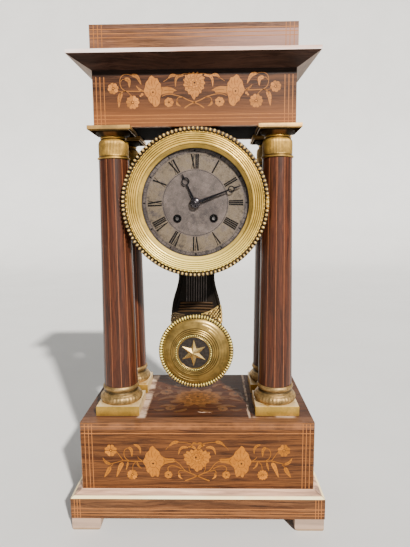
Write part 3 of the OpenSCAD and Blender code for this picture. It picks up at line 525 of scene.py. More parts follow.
# copy of the leaf brass darkened as painted shade, for the left leaf and the blades behind the scales
M["leaf_dim"] = brass("brass_leaf_dim", met(92, 72, 44), met(116, 94, 60), met(46, 34, 20), seed=7.1, amount=0.5, rough=(0.42, 0.56), metal=0.7, scale=240)
M["wire"] = brass("steel_wire", met(112, 104, 100), met(140, 132, 128), met(60, 52, 50), seed=7.6, amount=0.4, rough=(0.35, 0.5), metal=0.7)
# cross bands of the lyre darkened as painted shade
M["bar"] = brass("brass_bar", met(84, 56, 28), met(106, 74, 38), met(40, 28, 16), seed=7.8, amount=0.5, rough=(0.42, 0.56), metal=0.7)
M["movement"] = brass("brass_movement", met(206, 176, 104), met(220, 194, 126), met(150, 124, 74), seed=6.0, amount=0.2)
M["bell"] = brass("bell_metal", met(176, 164, 140), met(196, 186, 164), met(120, 112, 96), seed=8.0, amount=0.3)
M["steel"] = brass("steel", met(170, 172, 176), met(200, 202, 206), met(100, 94, 88), seed=9.0, amount=0.3, rough=(0.25, 0.4))
M["square"] = brass("steel_square", met(150, 146, 144), met(176, 172, 170), met(110, 104, 100), seed=9.4, amount=0.3, rough=(0.4, 0.5), metal=0.6)
M["blued"] = brass("blued_steel", met(40, 38, 42), met(54, 52, 58), met(46, 38, 34), seed=4.0, amount=0.4, rough=(0.30, 0.42), metal=0.8)
M["hub"] = brass("blued_hub", met(66, 60, 62), met(90, 84, 88), met(38, 33, 32), seed=4.4, amount=0.35, rough=(0.24, 0.36), metal=0.85)


def inlay(name, tones, seed, rough=0.42, grain=(70, 70, 260)):
    """Pale inlaid wood; each cut piece has its own tone, with scorched edges drawn by a low noise."""
    w = Mat(name)
    t = w.attr("tone")
    col = w.ramp(t, [(0.0, tones[0]), (0.5, tones[1]), (1.0, tones[2])])
    g = w.noise(w.map(grain, (seed, seed, 0)), 1.0, 5, 0.65, 0.3)
    col = w.mix(w.span(g, 0.35, 0.7, 0.0, 0.5), col, w.mix(1.0, col, (0.66, 0.56, 0.46, 1), "MULTIPLY"))
    s = w.span(w.noise(w.map((210, 210, 210), (0, seed, 0)), 1.0, 4, 0.6), 0.52, 0.74)
    col = w.mix(w.math("MULTIPLY", s, 0.35), col, w.mix(1.0, col, (0.62, 0.45, 0.3, 1), "MULTIPLY"))
    w.set(colour=col, rough=rough, spec=0.2)
    w.bump(g, 0.15, 0.0002)
    return w.m


M["inlay"] = inlay("inlay_base", (lin(168, 118, 54), lin(202, 152, 76), lin(222, 178, 104)), 1.0)
M["inlay_frieze"] = inlay("inlay_frieze", (lin(172, 126, 74), lin(204, 160, 102), lin(224, 186, 132)), 2.0)
M["inlay_top"] = inlay("inlay_top", (lin(122, 76, 44), lin(160, 114, 66), lin(196, 150, 96)), 3.0, rough=0.55)
M["string"] = inlay("stringing", (lin(176, 130, 84), lin(200, 154, 104), lin(218, 178, 130)), 4.0)
M["string_col"] = inlay("stringing_column", (lin(140, 94, 68), lin(176, 126, 94), lin(196, 150, 116)), 5.0, rough=0.3)
M["cut"] = inlay("cut_line", (lin(70, 42, 26), lin(112, 72, 40), lin(132, 88, 50)), 6.0)
M["cut_top"] = inlay("cut_line_top", (lin(48, 24, 16), lin(80, 46, 28), lin(104, 64, 38)), 6.4, rough=0.5)
M["dust"] = inlay("dust", (lin(190, 176, 160), lin(206, 192, 178), lin(220, 208, 196)), 6.8, rough=0.7)


def silvered():
    w = Mat("dial_silvered")
    x, y, z = w.sep()
    dz = w.math("SUBTRACT", z, 0.3315)
    r = w.math("SQRT", w.math("ADD", w.math("MULTIPLY", x, x), w.math("MULTIPLY", dz, dz)))
    n = w.noise(w.map((60, 60, 60), (1, 2, 3)), 1.0, 8, 0.72)
    n2 = w.noise(w.map((135, 135, 135), (5, 2, 3)), 1.0, 8, 0.78)
    n3 = w.noise(w.map((520, 520, 520), (5, 2, 9)), 1.0, 5, 0.75)
    col = w.ramp(n, [(0.34, lin(104, 94, 90)), (0.5, lin(140, 128, 122)), (0.66, lin(164, 152, 145))])
    ring = w.math("MULTIPLY", w.span(r, 0.0332, 0.0345), w.math("SUBTRACT", 1.0, w.span(r, 0.0485, 0.0500)))
    warm = w.math("MULTIPLY", ring, w.span(n2, 0.36, 0.54))
    col = w.mix(w.math("MULTIPLY", warm, 0.75), col, lin(170, 156, 132))
    outer = w.span(r, 0.0400, 0.0500)
    # fine dark scale, thin in the middle and crowded towards the rim
    worn = w.noise(w.map((24, 24, 24), (8, 2, 3)), 1.0, 4, 0.6)
    much = w.math("ADD", w.math("MULTIPLY", outer, 0.6), w.span(worn, 0.42, 0.62, 0.1, 0.5), clamp=True)
    spots = w.math("MULTIPLY", w.span(n2, 0.49, 0.58), much)
    col = w.mix(w.math("MULTIPLY", spots, 0.92), col, lin(84, 74, 73))
    pits = w.math("MULTIPLY", w.span(n3, 0.52, 0.64), w.math("ADD", w.math("MULTIPLY", much, 0.75), 0.25, clamp=True))
    col = w.mix(w.math("MULTIPLY", pits, 0.85), col, lin(66, 58, 57))
    rim = w.span(r, 0.0496, 0.0545)
    col = w.mix(w.math("MULTIPLY", rim, w.span(n2, 0.3, 0.7, 0.2, 0.7)), col, lin(116, 106, 102))
    w.set(colour=col, metal=0.15, rough=w.span(n, 0.3, 0.7, 0.5, 0.65), spec=0.35)
    w.bump(n2, 0.12, 0.0002)
    return w.m


def plain(name, colour, rough, metal=0.0, spec=0.4, grain=300, depth=0.2, vary=0.25):
    w = Mat(name)
    n = w.noise(w.map((grain,) * 3), 1.0, 5, 0.65)
    c2 = tuple(c * (1 - vary) for c in colour[:3]) + (1,)
    w.set(colour=w.mix(w.span(n, 0.35, 0.65), colour, c2), rough=rough, metal=metal, spec=spec)
    w.bump(n, depth, 0.0003)
    return w.m


M["dial"] = silvered()
M["ink"] = plain("dial_ink", lin(40, 36, 36), 0.65, vary=0.35, spec=0.12)
M["ink_faint"] = plain("dial_ink_faint", lin(86, 80, 78), 0.6, vary=0.35, spec=0.2)
# black painted as the shade inside the winding holes
M["black"] = plain("blackened", lin(9, 7, 7), 0.75, spec=0.08)
M["disc"] = plain("bob_disc", lin(98, 86, 76), 0.6, metal=0.5, grain=420, depth=1.0, vary=0.6)
M["silk"] = plain("silk", lin(200, 190, 170), 0.8)

g = Mat("glass")
smear = g.noise(g.map((30, 30, 30)), 1.0, 4, 0.6)
g.set(colour=(0.02, 0.02, 0.02, 1), rough=g.span(smear, 0.3, 0.7, 0.02, 0.05), alpha=0.03, spec=0.5, ior=1.45)
M["glass"] = g.m

w = Mat("floor")
w.set(colour=w.mix(w.span(w.noise(w.map((5, 5, 5)), 1.0, 5, 0.6), 0.3, 0.7), (0.66, 0.655, 0.64, 1), (0.63, 0.625, 0.61, 1)), rough=0.8, spec=0.2)
w.bump(w.noise(w.map((220, 220, 220)), 1.0, 3, 0.6), 0.1, 0.0004)
M["floor"] = w.m

NODE_MATS = dict(
    feet="foot", plinth_rails="plinth", bottom_board="back", base_front_panel="base", base_back_panel="back",
    base_side_panels="base", base_top_panel="top", column_bases="aged", column_front_left="column", column_front_right="column",
    column_rear_left="column", column_rear_right="column", column_capitals="aged", tie_rods="steel", tie_rod_nuts="steel",
    soffit_board="oak", frieze_front_panel="frieze", frieze_back_panel="back", frieze_side_panels="frieze", cornice_moulding="cornice",
    attic_rails="attic", attic_top_board="attic_top", movement_drum="drum", drum_saddle="oak", drum_front_ring="aged", bezel_ring="gilt",
    bezel_glass="glass", bezel_hinge_pin="steel", dial_plate="dial", hour_hand="blued", minute_hand="blued", hand_collet="hub",
    rear_door="drum", rear_hinge_pin="steel", front_plate="movement", back_plate="movement", plate_pillars="movement",
    going_barrel="movement", going_winding_arbor="square", intermediate_wheel="movement", centre_wheel="movement",
    third_wheel="movement", escape_wheel="movement", anchor="steel", cannon_pinion="steel", minute_wheel="movement",
    hour_wheel="movement", strike_barrel="movement", strike_winding_arbor="square", pin_wheel="movement", fly="movement",
    hammer="steel", bell="bell", bell_stand="steel", pendulum_cock="movement", suspension_silk="silk", pendulum_rod="steel",
    lyre="dark_brass", bob_shell="gilt", bob_star="gilt")
for name, o in nodes.items():
    mat = M[NODE_MATS.get(name, "aged")]
    if not o.material_slots:
        o.data.materials.append(mat)
    for s in o.material_slots:
        s.material = mat

for name in ("base_front_panel", "frieze_front_panel", "base_top_panel", "attic_top_board", "feet", "cornice_moulding"):
    b = nodes[name].modifiers.new("edge", "BEVEL")
    b.width, b.segments, b.limit_method, b.angle_limit = 0.00035, 2, "ANGLE", math.radians(35)
    if name == "feet":
        b.width = 0.0011
for name in ("hour_hand", "minute_hand"):
    b = nodes[name].modifiers.new("edge", "BEVEL")
    b.width, b.segments, b.limit_method, b.angle_limit = 0.00016, 2, "ANGLE", math.radians(50)


# ---------------------------------------------------------------- mesh helpers
HANG = math.radians(1.0)


def hung(x, y, z):
    """The pendulum stands one degree left of plumb, turned about its suspension."""
    c, s = math.cos(HANG), math.sin(HANG)
    return (x * c + (z - 361.5) * s, y, 361.5 - x * s + (z - 361.5) * c)


def make(name, verts, faces, mats, body, slot, idx=None, smooth=None, tones=None):
    """Object from points in mm, riding on a body. smooth is the sharp angle in degrees."""
    me = bpy.data.meshes.new(name)
    if body == "pendulum":
        verts = [hung(*q) for q in verts]
    me.from_pydata([(x * MM, y * MM, z * MM) for x, y, z in verts], [], faces)
    for k in (mats if isinstance(mats, (list, tuple)) else [mats]):
        me.materials.append(k)
    if idx:
        me.polygons.foreach_set("material_index", idx)
    if tones:
        a = me.attributes.new("tone", "FLOAT", "FACE")
        a.data.foreach_set("value", tones)
    me.validate()
    me.update()
    if smooth:
        me.shade_smooth()
        me.set_sharp_from_angle(angle=math.radians(smooth))
    o = bpy.data.objects.new(name, me)
    bpy.context.scene.collection.objects.link(o)
    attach(o, body)
    return o


def rings(prof, n, relief=None, turn=0.0, close=True):
    """Closed ring of section prof round the Z axis. prof rows are (kind, radius, height); 's' is a square of that half width."""
    verts, faces = [], []
    for j, (kind, r, h) in enumerate(prof):
        for i in range(n):
            a = turn + 2 * math.pi * i / n
            c, s = math.cos(a), math.sin(a)
            rr = r / max(abs(c), abs(s)) if kind == "s" else r
            if relief and kind == "c":
                rr += relief(a, h, r)
            verts.append((rr * c, rr * s, h))
    k = len(prof)
    for j in range(k if close else k - 1):
        j2 = (j + 1) % k
        for i in range(n):
            i2 = (i + 1) % n
            faces.append((j * n + i, j * n + i2, j2 * n + i2, j2 * n + i))
    return verts, faces


def dense(points, step, sharp=()):
    """Section points joined by short straight steps."""
    out = []
    for (r0, h0), (r1, h1) in zip(points, points[1:]):
        d = math.hypot(r1 - r0, h1 - h0)
        k = max(1, int(math.ceil(d / step)))
        for i in range(k):
            t = i / k
            out.append((r0 + (r1 - r0) * t, h0 + (h1 - h0) * t))
    out.append(points[-1])
    return out


def rounded(points, per=5):
    """Catmull-Rom through section points."""
    out = []
    p = [points[0]] + list(points) + [points[-1]]
    for i in range(1, len(p) - 2):
        for k in range(per):
            t = k / per
            out.append(tuple(0.5 * ((2 * p[i][c]) + (-p[i - 1][c] + p[i + 1][c]) * t
                                    + (2 * p[i - 1][c] - 5 * p[i][c] + 4 * p[i + 1][c] - p[i + 2][c]) * t * t
                                    + (-p[i - 1][c] + 3 * p[i][c] - 3 * p[i + 1][c] + p[i + 2][c]) * t ** 3) for c in range(2)))
    out.append(points[-1])
    return out


def join(parts):
    """Several (verts, faces) as one."""
    v, f = [], []
    for pv, pf in parts:
        o = len(v)
        v += pv
        f += [tuple(i + o for i in q) for q in pf]
    return v, f


def moved(vf, dx=0, dy=0, dz=0):
    return [(x + dx, y + dy, z + dz) for x, y, z in vf[0]], vf[1]


def facing(vf, y, z, x=0.0):
    """Turns a shape made round Z so that its axis points at the viewer: height h goes to depth y - h."""
    return [(px + x, y - ph, pz + z) for px, pz, ph in vf[0]], [tuple(reversed(q)) for q in vf[1]]


def ball(cx, cy, cz, rx, ry, rz, nu=12, nv=8, frame3=None):
    """Ellipsoid; frame3 gives three axis vectors."""
    ax, ay, az = frame3 or (Vector((1, 0, 0)), Vector((0, 1, 0)), Vector((0, 0, 1)))
    v = []
    for j in range(1, nv):
        p = math.pi * j / nv
        for i in range(nu):
            t = 2 * math.pi * i / nu
            d = ax * (rx * math.sin(p) * math.cos(t)) + ay * (ry * math.sin(p) * math.sin(t)) + az * (rz * math.cos(p))
            v.append((cx + d.x, cy + d.y, cz + d.z))
    top, bot = len(v), len(v) + 1
    d = az * rz
    v += [(cx + d.x, cy + d.y, cz + d.z), (cx - d.x, cy - d.y, cz - d.z)]
    f = []
    for j in range(nv - 2):
        for i in range(nu):
            i2 = (i + 1) % nu
            f.append((j * nu + i, (j + 1) * nu + i, (j + 1) * nu + i2, j * nu + i2))
    for i in range(nu):
        i2 = (i + 1) % nu
        f.append((top, i, i2))
        f.append((bot, (nv - 2) * nu + i2, (nv - 2) * nu + i))
    return v, f


def bead_ring(y, z, r, count, tangential, radial, depth, start=0.0, nu=12, nv=8):
    """Round or egg-shaped beads on a circle that faces the viewer."""
    parts = []
    for i in range(count):
        a = start + 2 * math.pi * i / count
        rv, tv = Vector((math.cos(a), 0, math.sin(a))), Vector((-math.sin(a), 0, math.cos(a)))
        parts.append(ball(r * math.cos(a), y, z + r * math.sin(a), tangential, radial, depth, nu, nv, (tv, rv, Vector((0, -1, 0)))))
    return join(parts)


def spline(pts, per=8):
    """Smooth open line through 2-D points."""
    if len(pts) < 3:
        (x0, y0), (x1, y1) = pts
        return [(x0 + (x1 - x0) * i / per, y0 + (y1 - y0) * i / per) for i in range(per + 1)]
    return rounded(pts, per)


FACES = {
    "front": lambda at: (lambda u, v, w: (u, at - w, v)),
    "back": lambda at: (lambda u, v, w: (-u, at + w, v)),
    "left": lambda at: (lambda u, v, w: (at - w, -u, v)),
    "right": lambda at: (lambda u, v, w: (at + w, u, v)),
    "top": lambda at: (lambda u, v, w: (u, v, at + w)),
}


class Relief:
    """Thin closed pieces of veneer let into one face."""

    def __init__(self, face, at, lift=0.07, sunk=0.05):
        self.place = FACES[face](at)
        self.v, self.f, self.i, self.t = [], [], [], []
        self.lift, self.sunk = lift, sunk

    def _add(self, vs, fs, mat, tone):
        o = len(self.v)
        self.v += [self.place(*p) for p in vs]
        for q in fs:
            self.f.append(tuple(k + o for k in q))
            self.i.append(mat)
            self.t.append(tone)

    def poly(self, pts, mat=0, tone=0.5, up=0.0):
        """Prism over one outline."""
        area = sum(a[0] * b[1] - b[0] * a[1] for a, b in zip(pts, pts[1:] + pts[:1]))
        if area < 0:
            pts = pts[::-1]
        n = len(pts)
        hi, lo = self.lift + up, -self.sunk
        vs = [(u, v, hi) for u, v in pts] + [(u, v, lo) for u, v in pts]
        fs = [tuple(range(n)), tuple(range(2 * n - 1, n - 1, -1))]
        fs += [(i, n + i, n + (i + 1) % n, (i + 1) % n) for i in range(n)]
        self._add(vs, fs, mat, tone)

    def line(self, pts, width, mat=0, tone=0.5, up=0.0):
        """Ribbon along points; width is a number or a function of 0..1."""
        n = len(pts)
        wf = width if callable(width) else (lambda t: width)
        L, R = [], []
        for i, (x, y) in enumerate(pts):
            a, b = pts[max(0, i - 1)], pts[min(n - 1, i + 1)]
            dx, dy = b[0] - a[0], b[1] - a[1]
            d = math.hypot(dx, dy) or 1.0
            h = wf(i / (n - 1)) / 2
            L.append((x - dy / d * h, y + dx / d * h))
            R.append((x + dy / d * h, y - dx / d * h))
        hi, lo = self.lift + up, -self.sunk
        vs = [(u, v, hi) for u, v in L] + [(u, v, hi) for u, v in R] + [(u, v, lo) for u, v in L] + [(u, v, lo) for u, v in R]
        fs = []
        for i in range(n - 1):
            fs.append((i, n + i, n + i + 1, i + 1))
            fs.append((2 * n + i, 2 * n + i + 1, 3 * n + i + 1, 3 * n + i))
            fs.append((i, i + 1, 2 * n + i + 1, 2 * n + i))
            fs.append((n + i, 3 * n + i, 3 * n + i + 1, n + i + 1))
        fs.append((0, 2 * n, 3 * n, n))
        fs.append((n - 1, 2 * n - 1, 4 * n - 1, 3 * n - 1))
        self._add(vs, fs, mat, tone)

    def bar(self, u0, v0, u1, v1, mat=0, tone=0.5, up=0.0):
        self.poly([(u0, v0), (u1, v0), (u1, v1), (u0, v1)], mat, tone, up)

    def disc(self, c, r, mat=0, tone=0.5, up=0.0, n=20, lobes=0, depth=0.0, squash=1.0, turn=0.0):
        pts = []
        n = max(n, lobes * 8)
        for i in range(n):
            a = 2 * math.pi * i / n
            rr = r * (1 - depth + depth * abs(math.cos(lobes * a / 2))) if lobes else r
            pts.append((c[0] + rr * math.cos(a + turn), c[1] + rr * squash * math.sin(a + turn)))
        self.poly(pts, mat, tone, up)

    def done(self, name, mats, body, slot):
        return make(name, self.v, self.f, mats, body, slot, idx=self.i, tones=self.t)


# ---------------------------------------------------------------- marquetry
TAN, CUT = 0, 1


def leaf(R, pts, width, tone=None, vein=True, up=0.0, k=1.0):
    p = spline(pts, 7)
    tone = rnd.uniform(0.35, 0.8) if tone is None else tone
    R.line(p, lambda t: max(0.12, width * (math.sin(math.pi * min(1, t ** 0.75)) ** 0.85) * (1 - 0.18 * t)), TAN, tone, up)
    if vein and width > 1.4:
        q = p[max(1, len(p) // 10): int(len(p) * 0.82)]
        if len(q) > 2:
            R.line(q, lambda t: 0.26 * (1 - 0.6 * t), CUT, 0.5, up + 0.02)
            for s in (-1, 1):
                for f in (0.3, 0.5, 0.68):
                    i = int(f * (len(p) - 1))
                    a, b = p[i], p[min(len(p) - 1, i + 1)]
                    dx, dy = b[0] - a[0], b[1] - a[1]
                    d = math.hypot(dx, dy) or 1
                    dx, dy = dx / d, dy / d
                    e = width * 0.30
                    R.line([a, (a[0] + dx * e * 1.1 - dy * e * s, a[1] + dy * e * 1.1 + dx * e * s)], 0.16, CUT, 0.6, up + 0.02)


def stem(R, pts, w0=0.75, w1=0.6, tone=0.45, up=0.0):
    R.line(spline(pts, 8), lambda t: w0 + (w1 - w0) * t, TAN, tone, up)


def petals(R, c, r, n, inner=0.25, fat=0.9, turn=0.0, squash=1.0, up=0.0, tone=(0.4, 0.85), notch=True):
    """Open flower of n petals, each a separate piece with a vein."""
    for i in range(n):
        a = turn + 2 * math.pi * i / n
        d, s = (math.cos(a), math.sin(a)), (-math.sin(a), math.cos(a))
        w = math.pi * r / n * fat
        prof = [(inner, 0.16), (0.42, 0.55), (0.70, 1.0), (0.90, 0.92), (1.0, 0.52)]
        side = [(r * q, w * h) for q, h in prof]
        loop = side + ([(r * 0.86, 0.0)] if notch else [(r * 1.03, 0.0)]) + [(x, -y) for x, y in reversed(side)]
        pts = [(c[0] + d[0] * x + s[0] * y, c[1] + squash * (d[1] * x + s[1] * y)) for x, y in loop]
        R.poly(pts, TAN, rnd.uniform(*tone), up + 0.012 * (i % 3))
        R.line([(c[0] + d[0] * r * 0.3, c[1] + squash * d[1] * r * 0.3), (c[0] + d[0] * r * 0.72, c[1] + squash * d[1] * r * 0.72)], 0.16, CUT, 0.6, up + 0.05)


def small_flower(R, c, r, n=5, turn=0.3, up=0.0):
    petals(R, c, r, n, 0.16, 0.80, turn, up=up)
    R.disc(c, r * 0.24, CUT, 0.4, up + 0.07)
    R.disc(c, r * 0.13, TAN, 0.9, up + 0.09)


def bud(R, c, r):
    R.disc(c, r, TAN, 0.62, 0.0, lobes=7, depth=0.14)
    for a in range(5):
        t = 2 * math.pi * a / 5 + 0.4
        R.line([(c[0] + 0.25 * r * math.cos(t), c[1] + 0.25 * r * math.sin(t)), (c[0] + 0.8 * r * math.cos(t + 0.25), c[1] + 0.8 * r * math.sin(t + 0.25))], 0.2, CUT, 0.5, 0.03)
    R.disc(c, r * 0.2, CUT, 0.5, 0.04)


def mirrored(pts, s):
    return [(s * x, y) for x, y in pts]


def lily(R, outline, horn, lines, s, conv):
    """Trumpet flower: the scalloped face, its long throat, and the cut lines on it, from photo pixels."""
    face = mirrored([conv(*p) for p in outline], s)
    c = (sum(p[0] for p in face) / len(face), sum(p[1] for p in face) / len(face))
    ring = spline(face + [face[0]], 5)[:-1]
    hp = mirrored([conv(*p) for p in horn], s)
    R.poly(hp, TAN, 0.5, -0.01)
    R.poly(ring, TAN, 0.62, 0.012)
    for q in lines:
        R.line(spline(mirrored([conv(*p) for p in q], s), 5), 0.32, CUT, 0.5, 0.03)
    # thin cut lines between the petals, two curled inner petals and the dark throat
    w = max(p[0] for p in face) - min(p[0] for p in face)
    h = max(p[1] for p in face) - min(p[1] for p in face)
    t = (c[0] - s * w * 0.02, c[1] - h * 0.05)
    for k in range(13):
        a = 2 * math.pi * k / 13 + 0.2
        r0 = 0.20 if k % 2 else 0.30
        R.line(spline([(t[0] + w * r0 * math.cos(a), t[1] + h * r0 * 0.9 * math.sin(a)), (t[0] + w * 0.33 * math.cos(a + 0.12), t[1] + h * 0.31 * math.sin(a + 0.12)),
                       (t[0] + w * 0.44 * math.cos(a), t[1] + h * 0.43 * math.sin(a))], 3), 0.30, CUT, 0.55, 0.03)
    for e in (-1, 1):
        R.line(spline([(t[0] + e * w * 0.02, t[1] + h * 0.12), (t[0] + e * w * 0.17, t[1] + h * 0.05), (t[0] + e * w * 0.12, t[1] - h * 0.10), (t[0], t[1] - h * 0.13)], 4), 0.34, CUT, 0.5, 0.035)
    R.disc(t, w * 0.05, CUT, 0.1, 0.05)


def peony(R, x0, cy, out, k=1.0, eye=(0.5, 1.6)):
    """Full flower with a ragged outline, seams running in from the edge and three rows of curled petals."""
    pts = spline([(x0 + x * k, cy + y * k) for x, y in out] + [(x0 + out[0][0] * k, cy + out[0][1] * k)], 3)[:-1]
    R.poly(pts, TAN, 0.62)
    fr = random.Random(21)
    for i in range(17):
        a = 2 * math.pi * (i + 0.3 * fr.random()) / 17
        # length of the outline in this direction
        ro = max(math.hypot(x, y) for x, y in out if abs((math.atan2(y, x) - a + math.pi) % (2 * math.pi) - math.pi) < 0.42) * k
        R.line([(x0 + 0.55 * ro * math.cos(a + 0.14), cy + 0.55 * ro * math.sin(a + 0.14)), (x0 + 0.72 * ro * math.cos(a + 0.05), cy + 0.72 * ro * math.sin(a + 0.05)),
                (x0 + 0.9 * ro * math.cos(a), cy + 0.9 * ro * math.sin(a))], 0.32, CUT, 0.5, 0.03)
    for i, (rad, lobes, tn, tone) in enumerate(((6.8, 9, 0.3, 0.55), (4.6, 7, 0.9, 0.75), (2.5, 5, 0.2, 0.6))):
        rad *= k
        R.disc((x0 + 0.2 * i, cy + 0.7 + 0.3 * i), rad + 0.34, CUT, 0.45, 0.02 + 0.03 * i, lobes=lobes, depth=0.22, squash=1.0, turn=tn)
        R.disc((x0 + 0.2 * i, cy + 0.7 + 0.3 * i), rad, TAN, tone, 0.032 + 0.03 * i, lobes=lobes, depth=0.22, squash=1.0, turn=tn)
        for e in range(lobes):
            a = tn + 2 * math.pi * (e + 0.5) / lobes
            R.line([(x0 + 0.2 * i + rad * 0.5 * math.cos(a), cy + 0.7 + 0.3 * i + rad * 0.5 * math.sin(a)),
                    (x0 + 0.2 * i + rad * 0.84 * math.cos(a + 0.2), cy + 0.7 + 0.3 * i + rad * 0.84 * math.sin(a + 0.2))], 0.24, CUT, 0.5, 0.045 + 0.03 * i)
    R.disc((x0 + eye[0], cy + eye[1]), 1.0 * k, CUT, 0.05, 0.16)


def base_marquetry():
    R = Relief("front", -69.0)
    F = lambda px, py: on_front(px, py, -69.0)
    x0 = F(198.6, 460)[0]
    conv = lambda px, py: (F(px, py)[0] - x0, F(px, py)[1])
    for s in (-1, 1):
        # drawn for the left half as the photo shows it; s = -1 is that half
        c = lambda px, py: (-s * (conv(px, py)[0]), conv(px, py)[1])
        q = lambda pts: [c(*p) for p in pts]
        lily(R, [(154.2, 445.8), (157.6, 449.4), (160.2, 451.6), (162.2, 455.4), (164.6, 458.8), (164.4, 463.6), (161.8, 468.2),
                 (161.0, 472.4), (159.6, 476.6), (156.6, 475.4), (153.6, 477.0), (151.2, 473.6), (148.4, 471.2), (147.2, 466.6),
                 (144.6, 461.8), (146.4, 457.4), (147.6, 453.4), (150.4, 450.8), (151.6, 447.6)],
             [(162.4, 455.6), (166.4, 458.0), (170.4, 458.6), (174.6, 458.6), (176.8, 459.6), (175.4, 460.4), (176.8, 461.6), (174.2, 462.4),
              (169.8, 463.0), (165.8, 464.2), (162.6, 467.0)],
             [[(164.8, 458.8), (166.4, 461.0), (164.6, 463.8)], [(167.6, 460.6), (171.4, 460.4), (174.6, 460.4)]],
             -s, lambda px, py: (-conv(px, py)[0] * -1, conv(px, py)[1]))
        # outer stem and its branches
        stem(R, q([(145.4, 461.4), (138, 461.3), (130, 461.0), (124.7, 460.7), (118.5, 462.2), (111.5, 464.0)]), 0.9, 0.6)
        stem(R, q([(124.9, 460.6), (121.8, 456.6), (118.4, 452.0)]), 0.6, 0.5)
        small_flower(R, c(112.2, 450.4), 6.0, 4, 0.78)
        stem(R, q([(131.2, 461.0), (127.0, 458.2), (125.4, 453.6), (126.6, 449.4), (130.0, 447.8)]), 0.6, 0.5)
        leaf(R, q([(129.8, 447.2), (132.8, 450.0), (133.4, 456.6)]), 3.2)
        leaf(R, q([(135.2, 444.4), (139.4, 446.2), (141.6, 449.6), (141.6, 454.0)]), 2.6)
        stem(R, q([(143.4, 460.6), (140.4, 458.6), (139.2, 456.6)]), 0.7, 0.4)
        leaf(R, q([(112.6, 464.2), (107.6, 462.2), (104.2, 457.6)]), 3.0)
        stem(R, q([(114.4, 464.2), (112.6, 466.0), (111.6, 467.4)]), 0.55, 0.45)
        leaf(R, q([(111.6, 466.8), (109.8, 471.0), (106.0, 477.0)]), 4.4)
        leaf(R, q([(124.4, 462.4), (121.6, 467.2), (118.2, 476.8)]), 4.6)
        leaf(R, q([(129.4, 462.0), (128.8, 465.6), (127.6, 470.0)]), 2.0)
        leaf(R, q([(138.4, 461.8), (140.0, 465.8), (143.4, 468.8)]), 1.9)
        stem(R, q([(137.0, 462.0), (134.6, 465.0), (134.2, 469.6)]), 0.55, 0.45)
        small_flower(R, c(133.8, 474.6), 5.4, 6, 0.2)
        # inner buds, hooks and the stems that cross under the rose
        stem(R, q([(169.9, 471.4), (169.5, 467.6), (172.6, 465.8), (178.0, 466.4), (183.0, 469.0)]), 0.6, 0.7)
        stem(R, q([(176.6, 460.8), (181.4, 464.4), (186.4, 470.4), (191.8, 473.0), (198.8, 476.0), (205.0, 478.6), (211.0, 480.8)]), 0.55, 1.1)
        bud(R, c(169.9, 474.7), 4.1)
        stem(R, q([(186.4, 471.2), (181.2, 470.4), (180.0, 473.2), (182.2, 475.4)]), 0.6, 0.5)
        leaf(R, q([(181.2, 473.4), (180.8, 476.4), (184.0, 479.0)]), 2.2, vein=False)
        # leaves round the rose
        leaf(R, q([(189.6, 447.6), (184.6, 447.2), (181.4, 449.6), (180.0, 454.6)]), 2.8)
        stem(R, q([(192.6, 443.8), (186.0, 442.6), (179.4, 442.2)]), 0.5, 0.45)
        leaf(R, q([(180.2, 442.0), (175.2, 442.6), (170.0, 446.6)]), 3.3)
        stem(R, q([(170.6, 446.0), (168.6, 448.0), (167.0, 450.0)]), 0.5, 0.3)
        leaf(R, q([(198.4, 444.0), (194.6, 443.4), (192.2, 447.6)]), 1.9)
        stem(R, q([(190.4, 466.4), (190.8, 469.6), (192.2, 472.4)]), 0.5, 0.5)
    cy = F(198.6, 458.6)[1]
    peony(R, 0.0, cy, [(0, -14.6), (2.2, -12.6), (4.6, -12.0), (5.8, -9.4), (8.6, -8.4), (9.4, -5.4), (12.2, -3.6), (12.0, -0.6), (14.2, 1.8), (12.6, 4.0), (13.2, 6.6),
                       (9.8, 6.6), (9.0, 9.0), (6.2, 7.8), (4.2, 10.4), (1.6, 8.6), (-0.8, 10.4), (-3.4, 8.6), (-6.0, 9.8), (-7.6, 7.4), (-10.6, 8.0), (-11.4, 5.4), (-14.0, 4.4),
                       (-12.6, 1.6), (-13.6, -1.2), (-11.0, -3.2), (-10.6, -6.2), (-7.6, -7.4), (-6.4, -10.2), (-3.6, -10.8), (-2.4, -13.0)], 1.0, (-1.2, 1.2))
    leaf(R, [(1.0, cy + 10.0), (3.6, cy + 13.6), (8.4, cy + 14.6)], 3.2, tone=0.6)
    leaf(R, [(-1.0, cy + 10.0), (-4.4, cy + 12.8), (-9.4, cy + 12.6)], 2.6, tone=0.6)
    # stringing
    zt = [F(198.6, 426.8)[1], F(198.6, 433.6)[1]]
    for u in (4.4, 8.3, 11.7):
        for s in (-1, 1):
            R.bar(s * (119 - u) - 0.37, 39.8, s * (119 - u) + 0.37, 110.6, 2, 0.55)
    for zz in zt:
        R.bar(-118.6, zz - 0.36, 118.6, zz + 0.36, 2, 0.65, 0.005)
    R.bar(-118.6, 110.0 - 0.35, 118.6, 110.0 + 0.3, 2, 0.2)
    R.done("base_front_marquetry", [M["inlay"], M["cut"], M["string"]], "root", "pale_wood")


